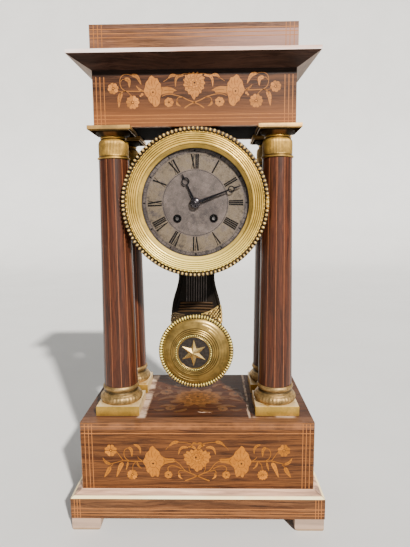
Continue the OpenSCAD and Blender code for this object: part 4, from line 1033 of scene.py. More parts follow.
def frieze_marquetry():
    R = Relief("front", -40.6)
    F = lambda px, py: on_front(px, py, -40.6)
    x0 = F(193.6, 90)[0]
    conv = lambda px, py: (F(px, py)[0] - x0, F(px, py)[1])
    for s in (-1, 1):
        c = lambda px, py: (-s * (conv(px, py)[0]), conv(px, py)[1])
        q = lambda pts: [c(*p) for p in pts]
        lily(R, [(151.2, 75.6), (154.4, 78.2), (156.8, 78.6), (158.4, 82.0), (160.2, 84.4), (160.0, 89.4), (160.6, 93.8), (159.4, 98.8),
                 (159.0, 103.2), (156.8, 106.2), (154.0, 106.8), (151.8, 103.8), (149.0, 101.8), (147.4, 97.8), (145.2, 95.2),
                 (143.4, 91.0), (144.6, 87.0), (145.4, 82.6), (147.8, 79.6), (149.0, 77.0)],
             [(158.6, 86.6), (162.6, 87.2), (167.0, 86.8), (171.4, 87.8), (176.4, 90.6), (173.2, 91.4), (172.2, 93.4), (167.8, 93.2), (163.0, 94.0), (159.0, 95.2)],
             [[(160.6, 86.4), (161.6, 90.4), (160.4, 94.8)], [(163.6, 90.6), (168.4, 90.2), (173.0, 90.8)]],
             -s, lambda px, py: (-conv(px, py)[0] * -1, conv(px, py)[1]))
        stem(R, q([(144.6, 91.2), (138.0, 91.4), (130.4, 91.4), (124.2, 91.4), (121.2, 92.6), (119.0, 95.0)]), 0.95, 0.6)
        stem(R, q([(125.4, 91.4), (121.4, 88.6), (119.6, 84.4), (119.6, 79.0), (122.0, 75.4), (126.6, 74.4), (131.4, 75.6)]), 0.65, 0.5)
        stem(R, q([(120.2, 81.8), (122.0, 79.4), (124.6, 79.6)]), 0.5, 0.4)
        leaf(R, q([(123.8, 79.2), (128.2, 80.4), (128.8, 87.6)]), 4.0)
        leaf(R, q([(130.8, 75.0), (136.4, 76.8), (140.8, 85.0)]), 3.8)
        leaf(R, q([(142.2, 91.0), (139.2, 89.6), (135.6, 86.0)]), 1.9)
        R.disc(c(141.6, 94.4), 1.3, TAN, 0.6)
        R.disc(c(140.0, 96.0), 0.9, TAN, 0.7)
        stem(R, q([(125.6, 91.4), (121.2, 91.6), (117.2, 91.0)]), 0.5, 0.4)
        petals(R, c(112.6, 88.6), 5.2, 8, 0.2, 0.80, 0.2, notch=False)
        R.disc(c(112.6, 88.6), 1.3, CUT, 0.3, 0.07)
        R.disc(c(112.6, 88.6), 0.7, TAN, 0.9, 0.09)
        leaf(R, q([(121.4, 93.4), (119.0, 98.0), (118.4, 107.8)]), 4.4)
        small_flower(R, c(132.2, 102.4), 6.4, 5, 0.9)
        stem(R, q([(131.2, 96.4), (128.6, 93.6), (126.6, 91.8)]), 0.5, 0.5)
        bud(R, c(168.4, 102.3), 4.6)
        stem(R, q([(161.4, 96.4), (166.0, 94.6), (172.0, 94.6), (181.0, 96.9), (187.0, 99.8), (193.4, 102.2), (199.4, 105.0), (203.6, 107.8)]), 0.6, 1.15)
        stem(R, q([(182.6, 97.6), (178.4, 97.4), (176.4, 99.8), (177.4, 102.6)]), 0.6, 0.5)
        leaf(R, q([(176.8, 101.0), (176.8, 104.2), (180.4, 106.4)]), 2.4, vein=False)
        leaf(R, q([(183.4, 75.4), (177.6, 76.2), (175.2, 80.2), (175.0, 87.2)]), 3.0)
        leaf(R, q([(175.4, 75.4), (170.8, 75.6), (167.2, 79.0)]), 3.0)
        stem(R, q([(168.2, 78.0), (165.2, 80.2), (162.8, 81.8)]), 0.55, 0.35)
        stem(R, q([(189.6, 74.0), (184.6, 73.6), (180.2, 74.6), (175.2, 75.2)]), 0.5, 0.5)
    # full flower in the middle: ragged petals, drawn down to a point below
    cy = F(193.6, 84.4)[1]
    out = [(0, -14.6), (1.6, -11.8), (3.4, -11.2), (5.0, -8.6), (6.8, -8.0), (7.4, -5.2), (9.8, -3.8), (9.2, -1.2), (10.8, 1.2), (9.4, 3.6),
           (10.6, 6.4), (8.2, 7.6), (8.0, 10.2), (5.2, 9.6), (3.6, 11.8), (1.4, 10.2), (-0.6, 11.6), (-2.6, 10.0), (-5.0, 11.2), (-6.2, 8.8),
           (-9.0, 9.0), (-8.6, 6.2), (-10.6, 4.6), (-9.2, 2.2), (-10.6, -0.4), (-8.8, -2.4), (-8.8, -5.2), (-6.4, -6.2), (-5.6, -9.0), (-3.4, -9.4), (-2.2, -12.2)]
    peony(R, 0.0, cy, out)
    for s in (-1, 1):
        for u in (3.8, 7.7, 11.6):
            R.bar(s * (100.35 - u) - 0.36, 407.2, s * (100.35 - u) + 0.36, 454.6, 2, 0.6)
    for py in (114.7, 118.3, 122.0):
        zz = F(193.6, py)[1]
        R.bar(-100.0, zz - 0.34, 100.0, zz + 0.34, 2, 0.6, 0.005)
    R.done("frieze_front_marquetry", [M["inlay_frieze"], M["cut"], M["string"]], "root", "pale_wood")


def top_marquetry():
    """Oval posy on the base top between the columns."""
    R = Relief("top", 111.0)
    cx, cy = -1.0, -4.5
    r_ = random.Random(8)
    # ring of leaves behind the flower
    for i in range(20):
        a = 2 * math.pi * (i + 0.35 * r_.random()) / 20
        l0, l1 = 17.0, 25.5 + 4.5 * r_.random()
        c_, s_ = math.cos(a), math.sin(a)
        bend = 0.22 * (1 if i % 2 else -1)
        leaf(R, [(cx + 1.2 * l0 * c_, cy + l0 * s_), (cx + 0.6 * (l0 + l1) * math.cos(a + bend * 0.5), cy + (l0 + l1) / 2 * math.sin(a + bend * 0.5)),
                 (cx + 1.2 * l1 * math.cos(a + bend), cy + l1 * math.sin(a + bend))], 7.4 + 1.6 * r_.random(), tone=0.12 + 0.3 * r_.random(), vein=False, up=0.004 * i)
    out = []
    for i in range(44):
        a = 2 * math.pi * i / 44
        k = 1.0 if i % 2 else 0.88
        out.append(((25.6 + 2.4 * r_.random()) * k * math.cos(a), (20.5 + 2.0 * r_.random()) * k * math.sin(a)))
    R.poly(spline([(cx + x, cy + y) for x, y in out] + [(cx + out[0][0], cy + out[0][1])], 3)[:-1], TAN, 0.6, 0.09)
    for f, n, tn, tone in ((0.80, 15, 0.3, 0.35), (0.60, 11, 0.7, 0.75), (0.42, 8, 0.2, 0.5), (0.24, 6, 0.1, 0.7)):
        up = 0.11 + 0.1 * (0.80 - f)
        R.disc((cx, cy), 25.0 * f + 0.5, CUT, 0.4, up, lobes=n, depth=0.24, squash=0.8, turn=tn)
        R.disc((cx, cy), 25.0 * f, TAN, tone, up + 0.012, lobes=n, depth=0.24, squash=0.8, turn=tn)
        for i in range(n):
            a = tn + 2 * math.pi * (i + 0.5) / n
            q = 25.0 * f
            R.line([(cx + q * 0.62 * math.cos(a), cy + 0.8 * q * 0.62 * math.sin(a)), (cx + q * 0.9 * math.cos(a + 0.1), cy + 0.8 * q * 0.9 * math.sin(a + 0.1))], 0.45, CUT, 0.45, up + 0.02)
    R.disc((cx, cy + 0.6), 1.9, CUT, 0.2, 0.2)
    for x, y, r, n in ((-39.0, 11.0, 7.8, 7), (42.5, 5.0, 7.8, 7), (-30.0, -34.0, 5.6, 6), (33.0, 26.0, 5.4, 6), (27.0, -36.0, 5.4, 6), (-27.0, 30.0, 5.0, 6)):
        petals(R, (x, y), r, n, 0.2, 0.9, 0.3, tone=(0.25, 0.55))
        R.disc((x, y), r * 0.24, CUT, 0.3, 0.07)
    for j, (pts, wd, tone) in enumerate((
            ([(-30, -4), (-38, -6), (-47, -14)], 6.0, 0.2), ([(-45, 18), (-50, 24), (-49, 33)], 5.0, 0.1), ([(-47, 8), (-51, 2), (-50, -6)], 4.6, 0.15),
            ([(-36, 18), (-38, 26), (-44, 30)], 4.8, 0.2), ([(-14, 26), (-16, 33), (-10, 39)], 5.0, 0.3), ([(0, 27), (2, 34), (10, 38)], 5.0, 0.3),
            ([(16, 25), (20, 32), (28, 36)], 5.0, 0.2), ([(34, 16), (40, 20), (48, 20)], 5.2, 0.25), ([(34, -8), (41, -10), (49, -17)], 5.8, 0.2),
            ([(48, -2), (51, -8), (49, -14)], 4.4, 0.1), ([(-24, -30), (-34, -27), (-43, -30)], 5.2, 0.25), ([(-12, -36), (-18, -41), (-26, -43)], 4.8, 0.2),
            ([(2, -37), (8, -42), (17, -44)], 4.8, 0.25), ([(20, -31), (32, -28), (42, -31)], 5.2, 0.25), ([(35, -38), (42, -40), (48, -37)], 4.2, 0.15),
            ([(-36, -38), (-43, -40), (-48, -37)], 4.2, 0.15))):
        leaf(R, pts, wd, tone=tone + 0.12, up=0.085 + 0.004 * j)
    stem(R, [(-20, 2), (-28, 6), (-33, 10)], 0.9, 0.6)
    stem(R, [(23, -2), (30, -3), (36, -2)], 0.9, 0.6)
    stem(R, [(-14, -16), (-22, -26), (-27, -33)], 0.8, 0.6)
    # a bare, dusty scratch towards the front
    R.line(spline([(0, -43.5), (5, -45.0), (10, -44.2), (15, -46.0)], 4), lambda t: 0.9 * math.sin(math.pi * min(1, t + 0.08)) + 0.15, 2, 0.9, 0.01)
    R.done("base_top_marquetry", [M["inlay_top"], M["cut_top"], M["dust"]], "root", "pale_wood")


def stringing():
    z_attic = [on_front(199, py, -42.5)[1] for py in (27.8, 32.2, 36.3)]
    z_plinth = [on_front(199, py, -79.0)[1] for py in (509.3, 512.8, 515.5)]
    R = Relief("front", -42.5)
    for s in (-1, 1):
        for u in (4.4, 8.4, 12.3):
            R.bar(s * (101.2 - u) - 0.33, 474.5, s * (101.2 - u) + 0.33, 502.3, 0, 0.6)
    for zz in z_attic:
        R.bar(-100.9, zz - 0.33, 100.9, zz + 0.33, 0, 0.7, 0.005)
    R.done("attic_front_stringing", [M["string"]], "root", "pale_wood")
    R = Relief("front", -79.0)
    for s in (-1, 1):
        for u in (3.8, 6.7, 9.5):
            R.bar(s * (129 - u) - 0.34, 13.3, s * (129 - u) + 0.34, 34.2, 0, 0.6)
    for zz in z_plinth:
        R.bar(-128.7, zz - 0.34, 128.7, zz + 0.34, 0, 0.6, 0.005)
    R.done("plinth_front_stringing", [M["string"]], "root", "pale_wood")
    for side, s in (("left", -1), ("right", 1)):
        for nm, at, half, za, zb, us, zs in (
                ("base", 119.0, 69.0, 39.8, 110.6, (4.4, 8.3, 11.7), (on_front(198.6, 426.8, -69)[1], on_front(198.6, 433.6, -69)[1])),
                ("frieze", 100.35, 40.6, 407.2, 460.6, (3.8, 7.7, 11.6), [on_front(193.6, p, -40.6)[1] for p in (114.7, 118.3, 122.0)]),
                ("attic", 101.2, 42.5, 474.5, 502.3, (4.4, 8.4, 12.3), z_attic),
                ("plinth", 129.0, 79.0, 13.3, 34.2, (3.8, 6.7, 9.5), z_plinth)):
            R = Relief(side, s * at)
            for e in (-1, 1):
                for u in us:
                    R.bar(e * (half - u) - 0.34, za, e * (half - u) + 0.34, zb, 0, 0.6)
            for zz in zs:
                R.bar(-half + 0.3, zz - 0.34, half - 0.3, zz + 0.34, 0, 0.6, 0.005)
            R.done(f"{nm}_{side}_stringing", [M["string"]], "root", "pale_wood")


base_marquetry()
frieze_marquetry()
top_marquetry()
stringing()

# ---------------------------------------------------------------- columns
COLS = [(-83.5, -30.6), (83.5, -30.6), (-83.5, 30.6), (83.5, 30.6)]
R1, R2, Z1, Z2 = 17.95, 15.1, 139.5, 376.0


def column_strings():
    v, f, t = [], [], []
    for cx, cy in COLS:
        for k in range(12):
            a = -math.pi / 2 + math.radians(12.4 if cx < 0 else -7.9) + k * math.pi / 6
            c, s = math.cos(a), math.sin(a)
            n = 6
            o = len(v)
            for i in range(n + 1):
                q = i / n
                z = Z1 + 0.2 + (Z2 - Z1 - 0.4) * q
                r = R1 + (R2 - R1) * q
                hw = 0.42
                for w_, dr in ((-hw, 0.06), (hw, 0.06), (hw, -0.2), (-hw, -0.2)):
                    rr = r + dr
                    v.append((cx + rr * c - w_ * s, cy + rr * s + w_ * c, z))
            for i in range(n):
                for e in range(4):
                    e2 = (e + 1) % 4
                    f.append((o + 4 * i + e, o + 4 * i + e2, o + 4 * (i + 1) + e2, o + 4 * (i + 1) + e))
                    t.append(0.5)
            f.append((o + 3, o + 2, o + 1, o))
            f.append((o + 4 * n, o + 4 * n + 1, o + 4 * n + 2, o + 4 * n + 3))
            t += [0.5, 0.5]
    make("column_stringing", v, f, M["string_col"], "root", "pale_wood", tones=t)


column_strings()


def fold(x):
    """Triangle wave, 0..1."""
    x = x % 1.0
    return 1 - abs(2 * x - 1)


def capital():
    bell = [(10.05, 376.1), (15.9, 376.1), (16.4, 376.5), (16.5, 377.0), (16.4, 377.5), (15.9, 377.9), (15.1, 378.1), (14.9, 378.4), (14.9, 379.0)]
    body = [(15.1, 379.0), (15.2, 384.0), (15.2, 389.0), (15.1, 391.4), (14.5, 393.4), (13.3, 394.9), (12.0, 395.9)]
    neck = [(11.8, 396.0), (12.6, 396.2), (13.1, 396.7), (13.2, 397.2), (12.9, 397.8), (12.4, 398.2)]
    ech = [(12.5, 398.3), (13.6, 398.9), (15.0, 399.9), (16.2, 401.0), (16.9, 401.8), (17.1, 402.3)]
    prof = dense(bell, 0.5) + dense(rounded(body, 6), 0.45) + dense(rounded(neck, 4), 0.4) + dense(rounded(ech, 6), 0.3)
    prof = [("c", r, h) for r, h in prof] + [("c", 10.05, 402.3)]

    def relief(a, h, r):
        if 379.4 < h < 395.2 and r > 12:
            k = min(1, (h - 379.4) / 0.8) * min(1, (395.2 - h) / 1.2)
            ribs = abs(math.sin(30 * a)) ** 0.7
            return -0.26 * k * (1 - ribs)
        if 398.6 < h < 402.1 and r > 13:
            k = math.sin(math.pi * (h - 398.6) / 3.5)
            # a leaf in each quarter with small veins, and scales between
            q = fold(4 * a / (2 * math.pi) + 0.5)
            lf = max(0.0, 1 - (1 - q) * 2.2)
            return k * (0.75 * lf ** 0.6 + 0.35 * abs(math.sin(36 * a + 2.2 * h)))
        return 0.0
    lathe = rings(prof, 360, relief, turn=math.radians(45))
    a0, b0, b1 = 21.1, 402.3, 407.0
    ab = [("c", 10.05, b0), ("s", a0 - 1.6, b0), ("s", a0 - 1.3, b0 + 0.5), ("s", a0 - 0.4, b0 + 0.6), ("s", a0, b0 + 0.9),
          ("s", a0, b1 - 0.4), ("s", a0 - 0.15, b1 - 0.1), ("s", a0 - 0.5, b1), ("c", 10.05, b1)]
    plate = rings(ab, 64, turn=math.radians(45))
    return lathe, plate


def column_base():
    z = 111.0
    rows = [(17.0, z + 9.5), (20.6, z + 9.5), (20.6, z + 10.6)]
    torus = [(20.7, z + 10.7), (21.6, z + 11.5), (22.2, z + 12.8), (22.4, z + 14.4), (22.1, z + 16.0), (21.2, z + 17.6), (20.0, z + 18.6)]
    top = [(19.9, z + 18.7), (19.8, z + 19.4), (19.2, z + 19.9), (18.2, z + 20.6), (17.6, z + 21.6), (17.6, z + 22.6), (18.0, z + 23.6), (18.7, z + 24.2),
           (19.2, z + 24.8), (19.4, z + 25.8), (19.2, z + 27.0), (18.7, z + 27.9), (18.5, z + 28.45)]
    prof = dense(rows, 0.8) + dense(rounded(torus, 6), 0.35) + dense(rounded(top, 4), 0.4)
    prof = [("c", r, h) for r, h in prof] + [("c", 16.6, z + 28.45)]
    prof = [("c", 16.6, z + 9.5)] + prof

    def relief(a, h, r):
        if z + 10.9 < h < z + 18.4 and r > 20:
            k = math.sin(math.pi * (h - z - 10.9) / 7.5) ** 0.6
            leaf_w = fold(36 * a / (2 * math.pi) + 0.5)
            edge = 0.34 * (leaf_w ** 0.5 - 0.75)
            rib = 0.16 * math.exp(-((1 - leaf_w) / 0.14) ** 2)
            vein = 0.10 * math.sin(8.0 * (h - z) * 0.55 + 9.0 * (1 - leaf_w))
            return k * (edge + rib + vein)
        return 0.0
    lathe = rings(prof, 360, relief, turn=math.radians(45))
    hw = 22.7
    blk = [("c", 16.6, z + 0.02), ("s", hw, z + 0.02), ("s", hw, z + 9.6), ("s", hw - 0.2, z + 10.05), ("s", hw - 0.7, z + 10.2), ("c", 20.2, z + 10.2), ("c", 16.6, z + 10.2)]
    block = rings(blk, 64, turn=math.radians(45))
    return lathe, block


lathe, plate = capital()
v, f = join([moved(lathe, cx, cy) for cx, cy in COLS])
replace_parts(make("capital_turnings", v, f, M["capital"], "root", "aged_brass", smooth=50), "column_capitals")
v, f = join([moved(plate, cx, cy) for cx, cy in COLS])
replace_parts(make("capital_plates", v, f, M["abacus"], "root", "aged_brass", smooth=30), "column_capitals")
lathe, block = column_base()
v, f = join([moved(lathe, cx, cy) for cx, cy in COLS])
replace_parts(make("base_turnings", v, f, M["base_ring"], "root", "aged_brass", smooth=50), "column_bases")
v, f = join([moved(block, cx, cy) for cx, cy in COLS])
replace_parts(make("base_blocks", v, f, M["block"], "root", "aged_brass", smooth=30), "column_bases")

# ---------------------------------------------------------------- bezel
DZ = 331.5
BZ = -46.6


def bezel():
    """Turned ring: a trough for the beads, then rounded ridges parted by thin grooves; trough and grooves are darkened
    by patina with painted shade.
    """
    rows = [(57.0, 0, 0), (73.0, 0, 0), (73.6, 0.5, 0), (73.7, 1.6, 1), (73.3, 2.4, 1), (72.6, 2.7, 1), (70.6, 2.8, 1), (69.9, 2.6, 1), (69.5, 2.5, 1), (69.25, 2.7, 1), (69.15, 3.8, 0)]
    cuts = [(69.0, 4.6), (67.6, 5.9), (65.5, 6.55), (63.5, 6.5), (61.5, 6.15), (59.5, 5.6), (56.95, 4.9)]
    for (ra, ha), (rb, hb) in zip(cuts, cuts[1:]):
        g = 0.24
        rows.append((ra - 0.02, ha - 0.40, 2))
        for k in range(9):
            t = k / 8
            rows.append((ra - g + (rb - ra + 2 * g) * t, ha - 0.12 + (hb - ha) * t + 0.72 * math.sin(math.pi * (0.04 + 0.92 * t)) ** 0.75, 0 if k < 8 else 2))
    # lip in front of the glass, then the sight ring that slopes back to the dial
    rows += [(56.75, 4.75, 0), (56.65, 4.62, 0), (57.68, 4.6, 0), (57.68, 3.02, 0), (57.2, 2.9, 3), (56.4, 2.0, 3), (55.6, 0.8, 3), (54.9, -0.3, 3), (54.3, -1.3, 3), (54.02, -1.77, 1), (53.7, -2.3, 1),
             (53.6, -2.5, 1), (53.6, -2.85, 1), (54.5, -2.85, 0), (55.3, -1.4, 0), (56.2, -0.2, 0)]
    vf = facing(rings([("c", r, h) for r, h, k in rows], 240), BZ, DZ)
    return vf, [rows[j][2] for j in range(len(rows)) for i in range(240)]


vf, idx = bezel()
body = make("bezel_turned", vf[0], vf[1], [M["gilt"], M["recess"], M["gilt_low"], M["sight"]], "bezel", "gilt_brass", idx=idx, smooth=28)
# notch at the back of the rim for the hinge
me = bpy.data.meshes.new("cutter")
x0, x1, y0, y1, z0, z1 = 70.8, 77, -49.4, -43, DZ - 7.4, DZ + 7.4
cv = [(x * MM, y * MM, z * MM) for x in (x0, x1) for y in (y0, y1) for z in (z0, z1)]
me.from_pydata(cv, [], [(0, 1, 3, 2), (4, 6, 7, 5), (0, 4, 5, 1), (2, 3, 7, 6), (0, 2, 6, 4), (1, 5, 7, 3)])
cut = bpy.data.objects.new("cutter", me)
bpy.context.scene.collection.objects.link(cut)
md = body.modifiers.new("notch", "BOOLEAN")
md.operation, md.object, md.solver = "DIFFERENCE", cut, "EXACT"
dg = bpy.context.evaluated_depsgraph_get()
new = bpy.data.meshes.new_from_object(body.evaluated_get(dg))
body.modifiers.clear()
body.data = new
bpy.data.objects.remove(cut)
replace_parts(body, "bezel_ring")
knuckle = []
for k in range(1):
    cyl = rings([("c", 0.76, -3.0), ("c", 1.25, -3.0), ("c", 1.3, -2.8), ("c", 1.3, 2.8), ("c", 1.25, 3.0), ("c", 0.76, 3.0)], 32)
    knuckle.append(moved(cyl, 72.3, -47.9, DZ))
    hw = [(70.2, -49.65, -3), (71.6, -49.65, -3), (71.6, -48.2, -3), (70.2, -48.2, -3)]
    bv = [(x, y, DZ + z) for x, y, z in hw] + [(x, y, DZ + 3) for x, y, z in hw]
    knuckle.append((bv, [(3, 2, 1, 0), (4, 5, 6, 7), (0, 1, 5, 4), (1, 2, 6, 5), (2, 3, 7, 6), (3, 0, 4, 7)]))
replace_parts(make("bezel_knuckle", *join(knuckle), M["gilt"], "bezel", "gilt_brass", smooth=40), "bezel_ring")
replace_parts(make("bezel_beads", *bead_ring(BZ - 3.9, DZ, 71.75, 107, 1.3, 1.75, 2.4, 0.0), M["bead"], "bezel", "gilt_brass", smooth=60), "bezel_ring")
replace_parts(make("bezel_small_beads", *bead_ring(BZ - 5.2, DZ, 68.3, 107, 0.9, 0.9, 1.0, math.pi / 107, 10, 6), M["gilt"], "bezel", "gilt_brass", smooth=60), "bezel_ring")

# ---------------------------------------------------------------- dial
R = Relief("front", -42.5, lift=0.05, sunk=0.03)


def dial_pt(r, a):
    """Point at radius r and clock angle a, in degrees from twelve."""
    t = math.radians(a)
    return (r * math.sin(t), DZ + r * math.cos(t))


def circle_line(r, w, mat, tone=0.5, n=180):
    R_n = n
    pts = [dial_pt(r, 360.0 * i / R_n) for i in range(R_n + 1)]
    R.line(pts, w, mat, tone)


def glyph(ch):
    """Strokes of one letter as outlines: x across, y from foot 0 to head 1, in units of height; returns (outlines, width)."""
    if ch == "I":
        w_ = 0.132
        return [[(0.004, 0.0), (0.128, 0.0), (0.128, 1.0), (0.004, 1.0)], [(0, 0), (w_, 0), (w_, 0.035), (0, 0.035)], [(0, 0.965), (w_, 0.965), (w_, 1), (0, 1)]], w_
    if ch == "V":
        return [[(0.0, 1.0), (0.128, 1.0), (0.210, 0.0), (0.128, 0.0)], [(0.250, 1.0), (0.302, 1.0), (0.200, 0.0), (0.150, 0.0)],
                [(0, 0.965), (0.14, 0.965), (0.14, 1), (0, 1)], [(0.23, 0.965), (0.325, 0.965), (0.325, 1), (0.23, 1)]], 0.325
    return [[(0.005, 1.0), (0.132, 1.0), (0.325, 0.0), (0.198, 0.0)], [(0.256, 1.0), (0.306, 1.0), (0.074, 0.0), (0.024, 0.0)],
            [(0, 0.965), (0.14, 0.965), (0.14, 1), (0, 1)], [(0.235, 0.965), (0.325, 0.965), (0.325, 1), (0.235, 1)],
            [(0.0, 0.0), (0.095, 0.0), (0.095, 0.035), (0, 0.035)], [(0.19, 0.0), (0.33, 0.0), (0.33, 0.035), (0.19, 0.035)]], 0.33


def subdivide(pts, k=5):
    out = []
    for a, b in zip(pts, pts[1:] + pts[:1]):
        for i in range(k):
            t = i / k
            out.append((a[0] + (b[0] - a[0]) * t, a[1] + (b[1] - a[1]) * t))
    return out


R0, H = 33.9, 14.3
for hour, text in enumerate(("XII", "I", "II", "III", "IIII", "V", "VI", "VII", "VIII", "IX", "X", "XI")):
    gs = [glyph(c) for c in text]
    gap = 0.016
    total = sum(g_[1] for g_ in gs) + gap * (len(gs) - 1)
    x = -total / 2
    for outs, wd in gs:
        for o_ in outs:
            pts = []
            for px, py in subdivide(o_):
                r = R0 + py * H
                across = (x + px) * H * (0.86 + 0.14 * py) * 0.97
                t = math.radians(30 * hour)
                pts.append((r * math.sin(t) + across * math.cos(t), DZ + r * math.cos(t) - across * math.sin(t)))
            R.poly(pts, 0, 0.5, 0.0)
        x += wd + gap
circle_line(32.7, 0.5, 1)
circle_line(50.3, 0.34, 1)
circle_line(53.1, 0.34, 0)
for i in range(60):
    R.line([dial_pt(50.4, 6 * i), dial_pt(53.0, 6 * i)], 0.8 if i % 5 == 0 else 0.5, 0 if i % 5 == 0 else 1)
    if i % 5 == 0:
        R.disc(dial_pt(51.7, 6 * i), 0.85, 0)
# round each winding hole: a black ring painted over the hole's edge as the shade inside it, then a thin faint ring
for s in (-1, 1):
    n = 48
    for r, w_, mt in ((2.95, 2.5, 2), (4.45, 0.24, 1)):
        pts = [(s * 18.5 + r * math.cos(2 * math.pi * i / n), DZ - 15.6 + r * math.sin(2 * math.pi * i / n)) for i in range(n + 1)]
        R.line(pts, w_, mt)
R.done("dial_figures", [M["ink"], M["ink_faint"], M["black"]], "root", "silvered_dial")

# domed cap of the hands
dome = [(0.0, 2.32), (0.35, 2.3), (0.6, 2.1), (1.2, 1.95), (2.4, 1.75), (3.6, 1.4), (4.6, 0.95), (5.2, 0.45), (5.4, 0.0)]
dome = [(0.02, 0.0)] + [(5.4, 0.0)] + dome[::-1][1:-1] + [(0.02, 2.32)]
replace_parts(make("hand_cap", *facing(rings([("c", r, h) for r, h in dome], 72), -46.92, DZ), M["hub"], "minute", "blued_steel", smooth=40), "hand_collet")

# ---------------------------------------------------------------- pendulum
PY, BZC = 20.0, 158.6


KB = 45.0 / 43.0


def sheared(x, y, z):
    """The raised middle of the bob stands a little left of its rim."""
    h = min(9.0, max(0.0, PY - y - 2.6))
    return (x - 0.41 * h, y, z)


def bob():
    """Turned bob: a trough under the beads, then a cone of soft rings up to the milled ring and the sunk disc; the
    trough, the grooves between rings and the seat round the milling are darkened by patina with painted shade.
    """
    prof = [(0.02, -6.0), (20, -5.4), (38, -3.0), (41.4, -1.4), (42.2, -0.9), (42.6, 0.2), (42.2, 1.2), (41.0, 1.5), (39.6, 1.1), (39.0, 0.7), (38.5, 0.8), (38.2, 1.8),
            (37.9, 2.5), (37.5, 2.8)]
    prof += [(36.8, 3.45), (35.6, 4.05), (34.4, 4.45), (33.8, 4.6), (33.65, 4.52), (33.5, 4.68), (32.0, 5.1), (30.9, 5.35), (30.75, 5.27), (30.6, 5.43), (29.0, 5.8), (27.7, 6.05)]
    for (ra, ha), (rb, hb) in zip([(27.5, 5.95), (25.5, 6.65), (23.5, 7.35)], [(25.5, 6.65), (23.5, 7.35), (21.5, 8.05)]):
        prof.append((ra - 0.02, ha - 0.55))
        prof.append((ra - 0.25, ha - 0.50))
        for k in range(7):
            t = k / 6
            prof.append((ra - 0.40 + (rb - ra + 0.5) * t, ha + (hb - ha) * t + 0.55 * math.sin(math.pi * (0.06 + 0.88 * t))))
    prof += [(21.45, 7.5), (21.2, 7.45), (21.0, 8.5), (20.8, 8.72), (19.1, 8.86), (18.9, 9.1), (18.6, 9.22), (18.2, 9.15), (17.9, 8.9), (17.7, 8.4)]
    prof += [(17.5, 7.9), (0.02, 7.9)]
    dark = set()
    for j, (r, h) in enumerate(prof):
        if 19.0 < r < 20.9 and h > 8.4 or any(abs(r - q) < 0.30 and h < lim for q, lim in ((27.4, 5.6), (25.4, 6.3), (23.4, 7.0), (21.35, 7.7))):
            dark.add(j)
    idx = [(1 if 38.1 < r < 42.65 and h > -1 else 2 if j in dark else 0) for j, (r, h) in enumerate(prof) for i in range(240)]
    v, f = facing(rings([("c", r * KB, h) for r, h in prof], 240), PY, BZC)
    return [sheared(*q) for q in v], f, idx


bv, bf, idx = bob()
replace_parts(make("bob_turned", bv, bf, [M["gilt_bob"], M["recess"], M["gilt_low"]], "pendulum", "gilt_brass", idx=idx, smooth=28), "bob_shell")
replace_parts(make("bob_beads", *bead_ring(PY - 1.6, BZC, 40.45 * KB, 80, 1.22, 2.55, 2.05, 0.0), M["bead_bob"], "pendulum", "gilt_brass", smooth=60), "bob_shell")
bv, bf = bead_ring(PY - 8.7, BZC, 19.95 * KB, 60, 0.66, 0.95, 0.85, 0.0, 8, 6)
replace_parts(make("bob_milling", [sheared(*q) for q in bv], bf, M["bead_bob"], "pendulum", "gilt_brass", smooth=60), "bob_shell")


def disc():
    """Hammered disc behind the star."""
    n, k = 96, 22
    v, f = [], []
    r_ = random.Random(5)
    for j in range(k + 1):
        r = 17.6 * KB * j / k
        for i in range(n):
            a = 2 * math.pi * i / n
            h = 8.35 + (0.22 * (r_.random() - 0.5) if 0 < j < k else 0)
            v.append((r * math.cos(a) if j else 0.01 * math.cos(a), PY - h, BZC + (r * math.sin(a) if j else 0.01 * math.sin(a))))
    for j in range(k):
        for i in range(n):
            i2 = (i + 1) % n
            f.append((j * n + i, j * n + i2, (j + 1) * n + i2, (j + 1) * n + i))
    o = len(v)
    for i in range(n):
        a = 2 * math.pi * i / n
        v.append((17.6 * KB * math.cos(a), PY - 7.8, BZC + 17.6 * KB * math.sin(a)))
    for i in range(n):
        i2 = (i + 1) % n
        f.append((k * n + i, k * n + i2, o + i2, o + i))
    f.append(tuple(range(o + n - 1, o - 1, -1)))
    f.append(tuple(range(n))[::-1])
    return [sheared(*q) for q in v], f


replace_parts(make("bob_disc", *disc(), M["disc"], "pendulum", "gilt_brass", smooth=60), "bob_shell")


def star():
    v = [(0.0, PY - 11.18, BZC)]
    for h in (8.95, 8.1):
        for i in range(12):
            a = math.radians(30 * i)
            r = (15.1 if i % 2 == 0 else 5.9) * KB
            v.append((r * math.sin(a), PY - h, BZC + r * math.cos(a)))
    f = []
    for i in range(12):
        a, b = 1 + i, 1 + (i + 1) % 12
        f.append((0, b, a))
        f.append((a, b, b + 12, a + 12))
    f.append(tuple(range(13, 25)))
    return [sheared(*q) for q in v], f


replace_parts(make("bob_star_faceted", *star(), M["star"], "pendulum", "gilt_brass"), "bob_star")

LYRE_OUT = [(4, 262.0), (5, 259.2), (12, 258.2), (16, 260.9), (20.4, 260.9), (22.3, 257.5), (21.3, 254), (20.9, 248), (21.9, 240), (23.9, 232),
            (26.3, 224), (28.3, 216), (29.2, 209), (29.5, 203), (29.1, 200.2), (27.6, 199.4), (24, 198), (16, 197.6)]


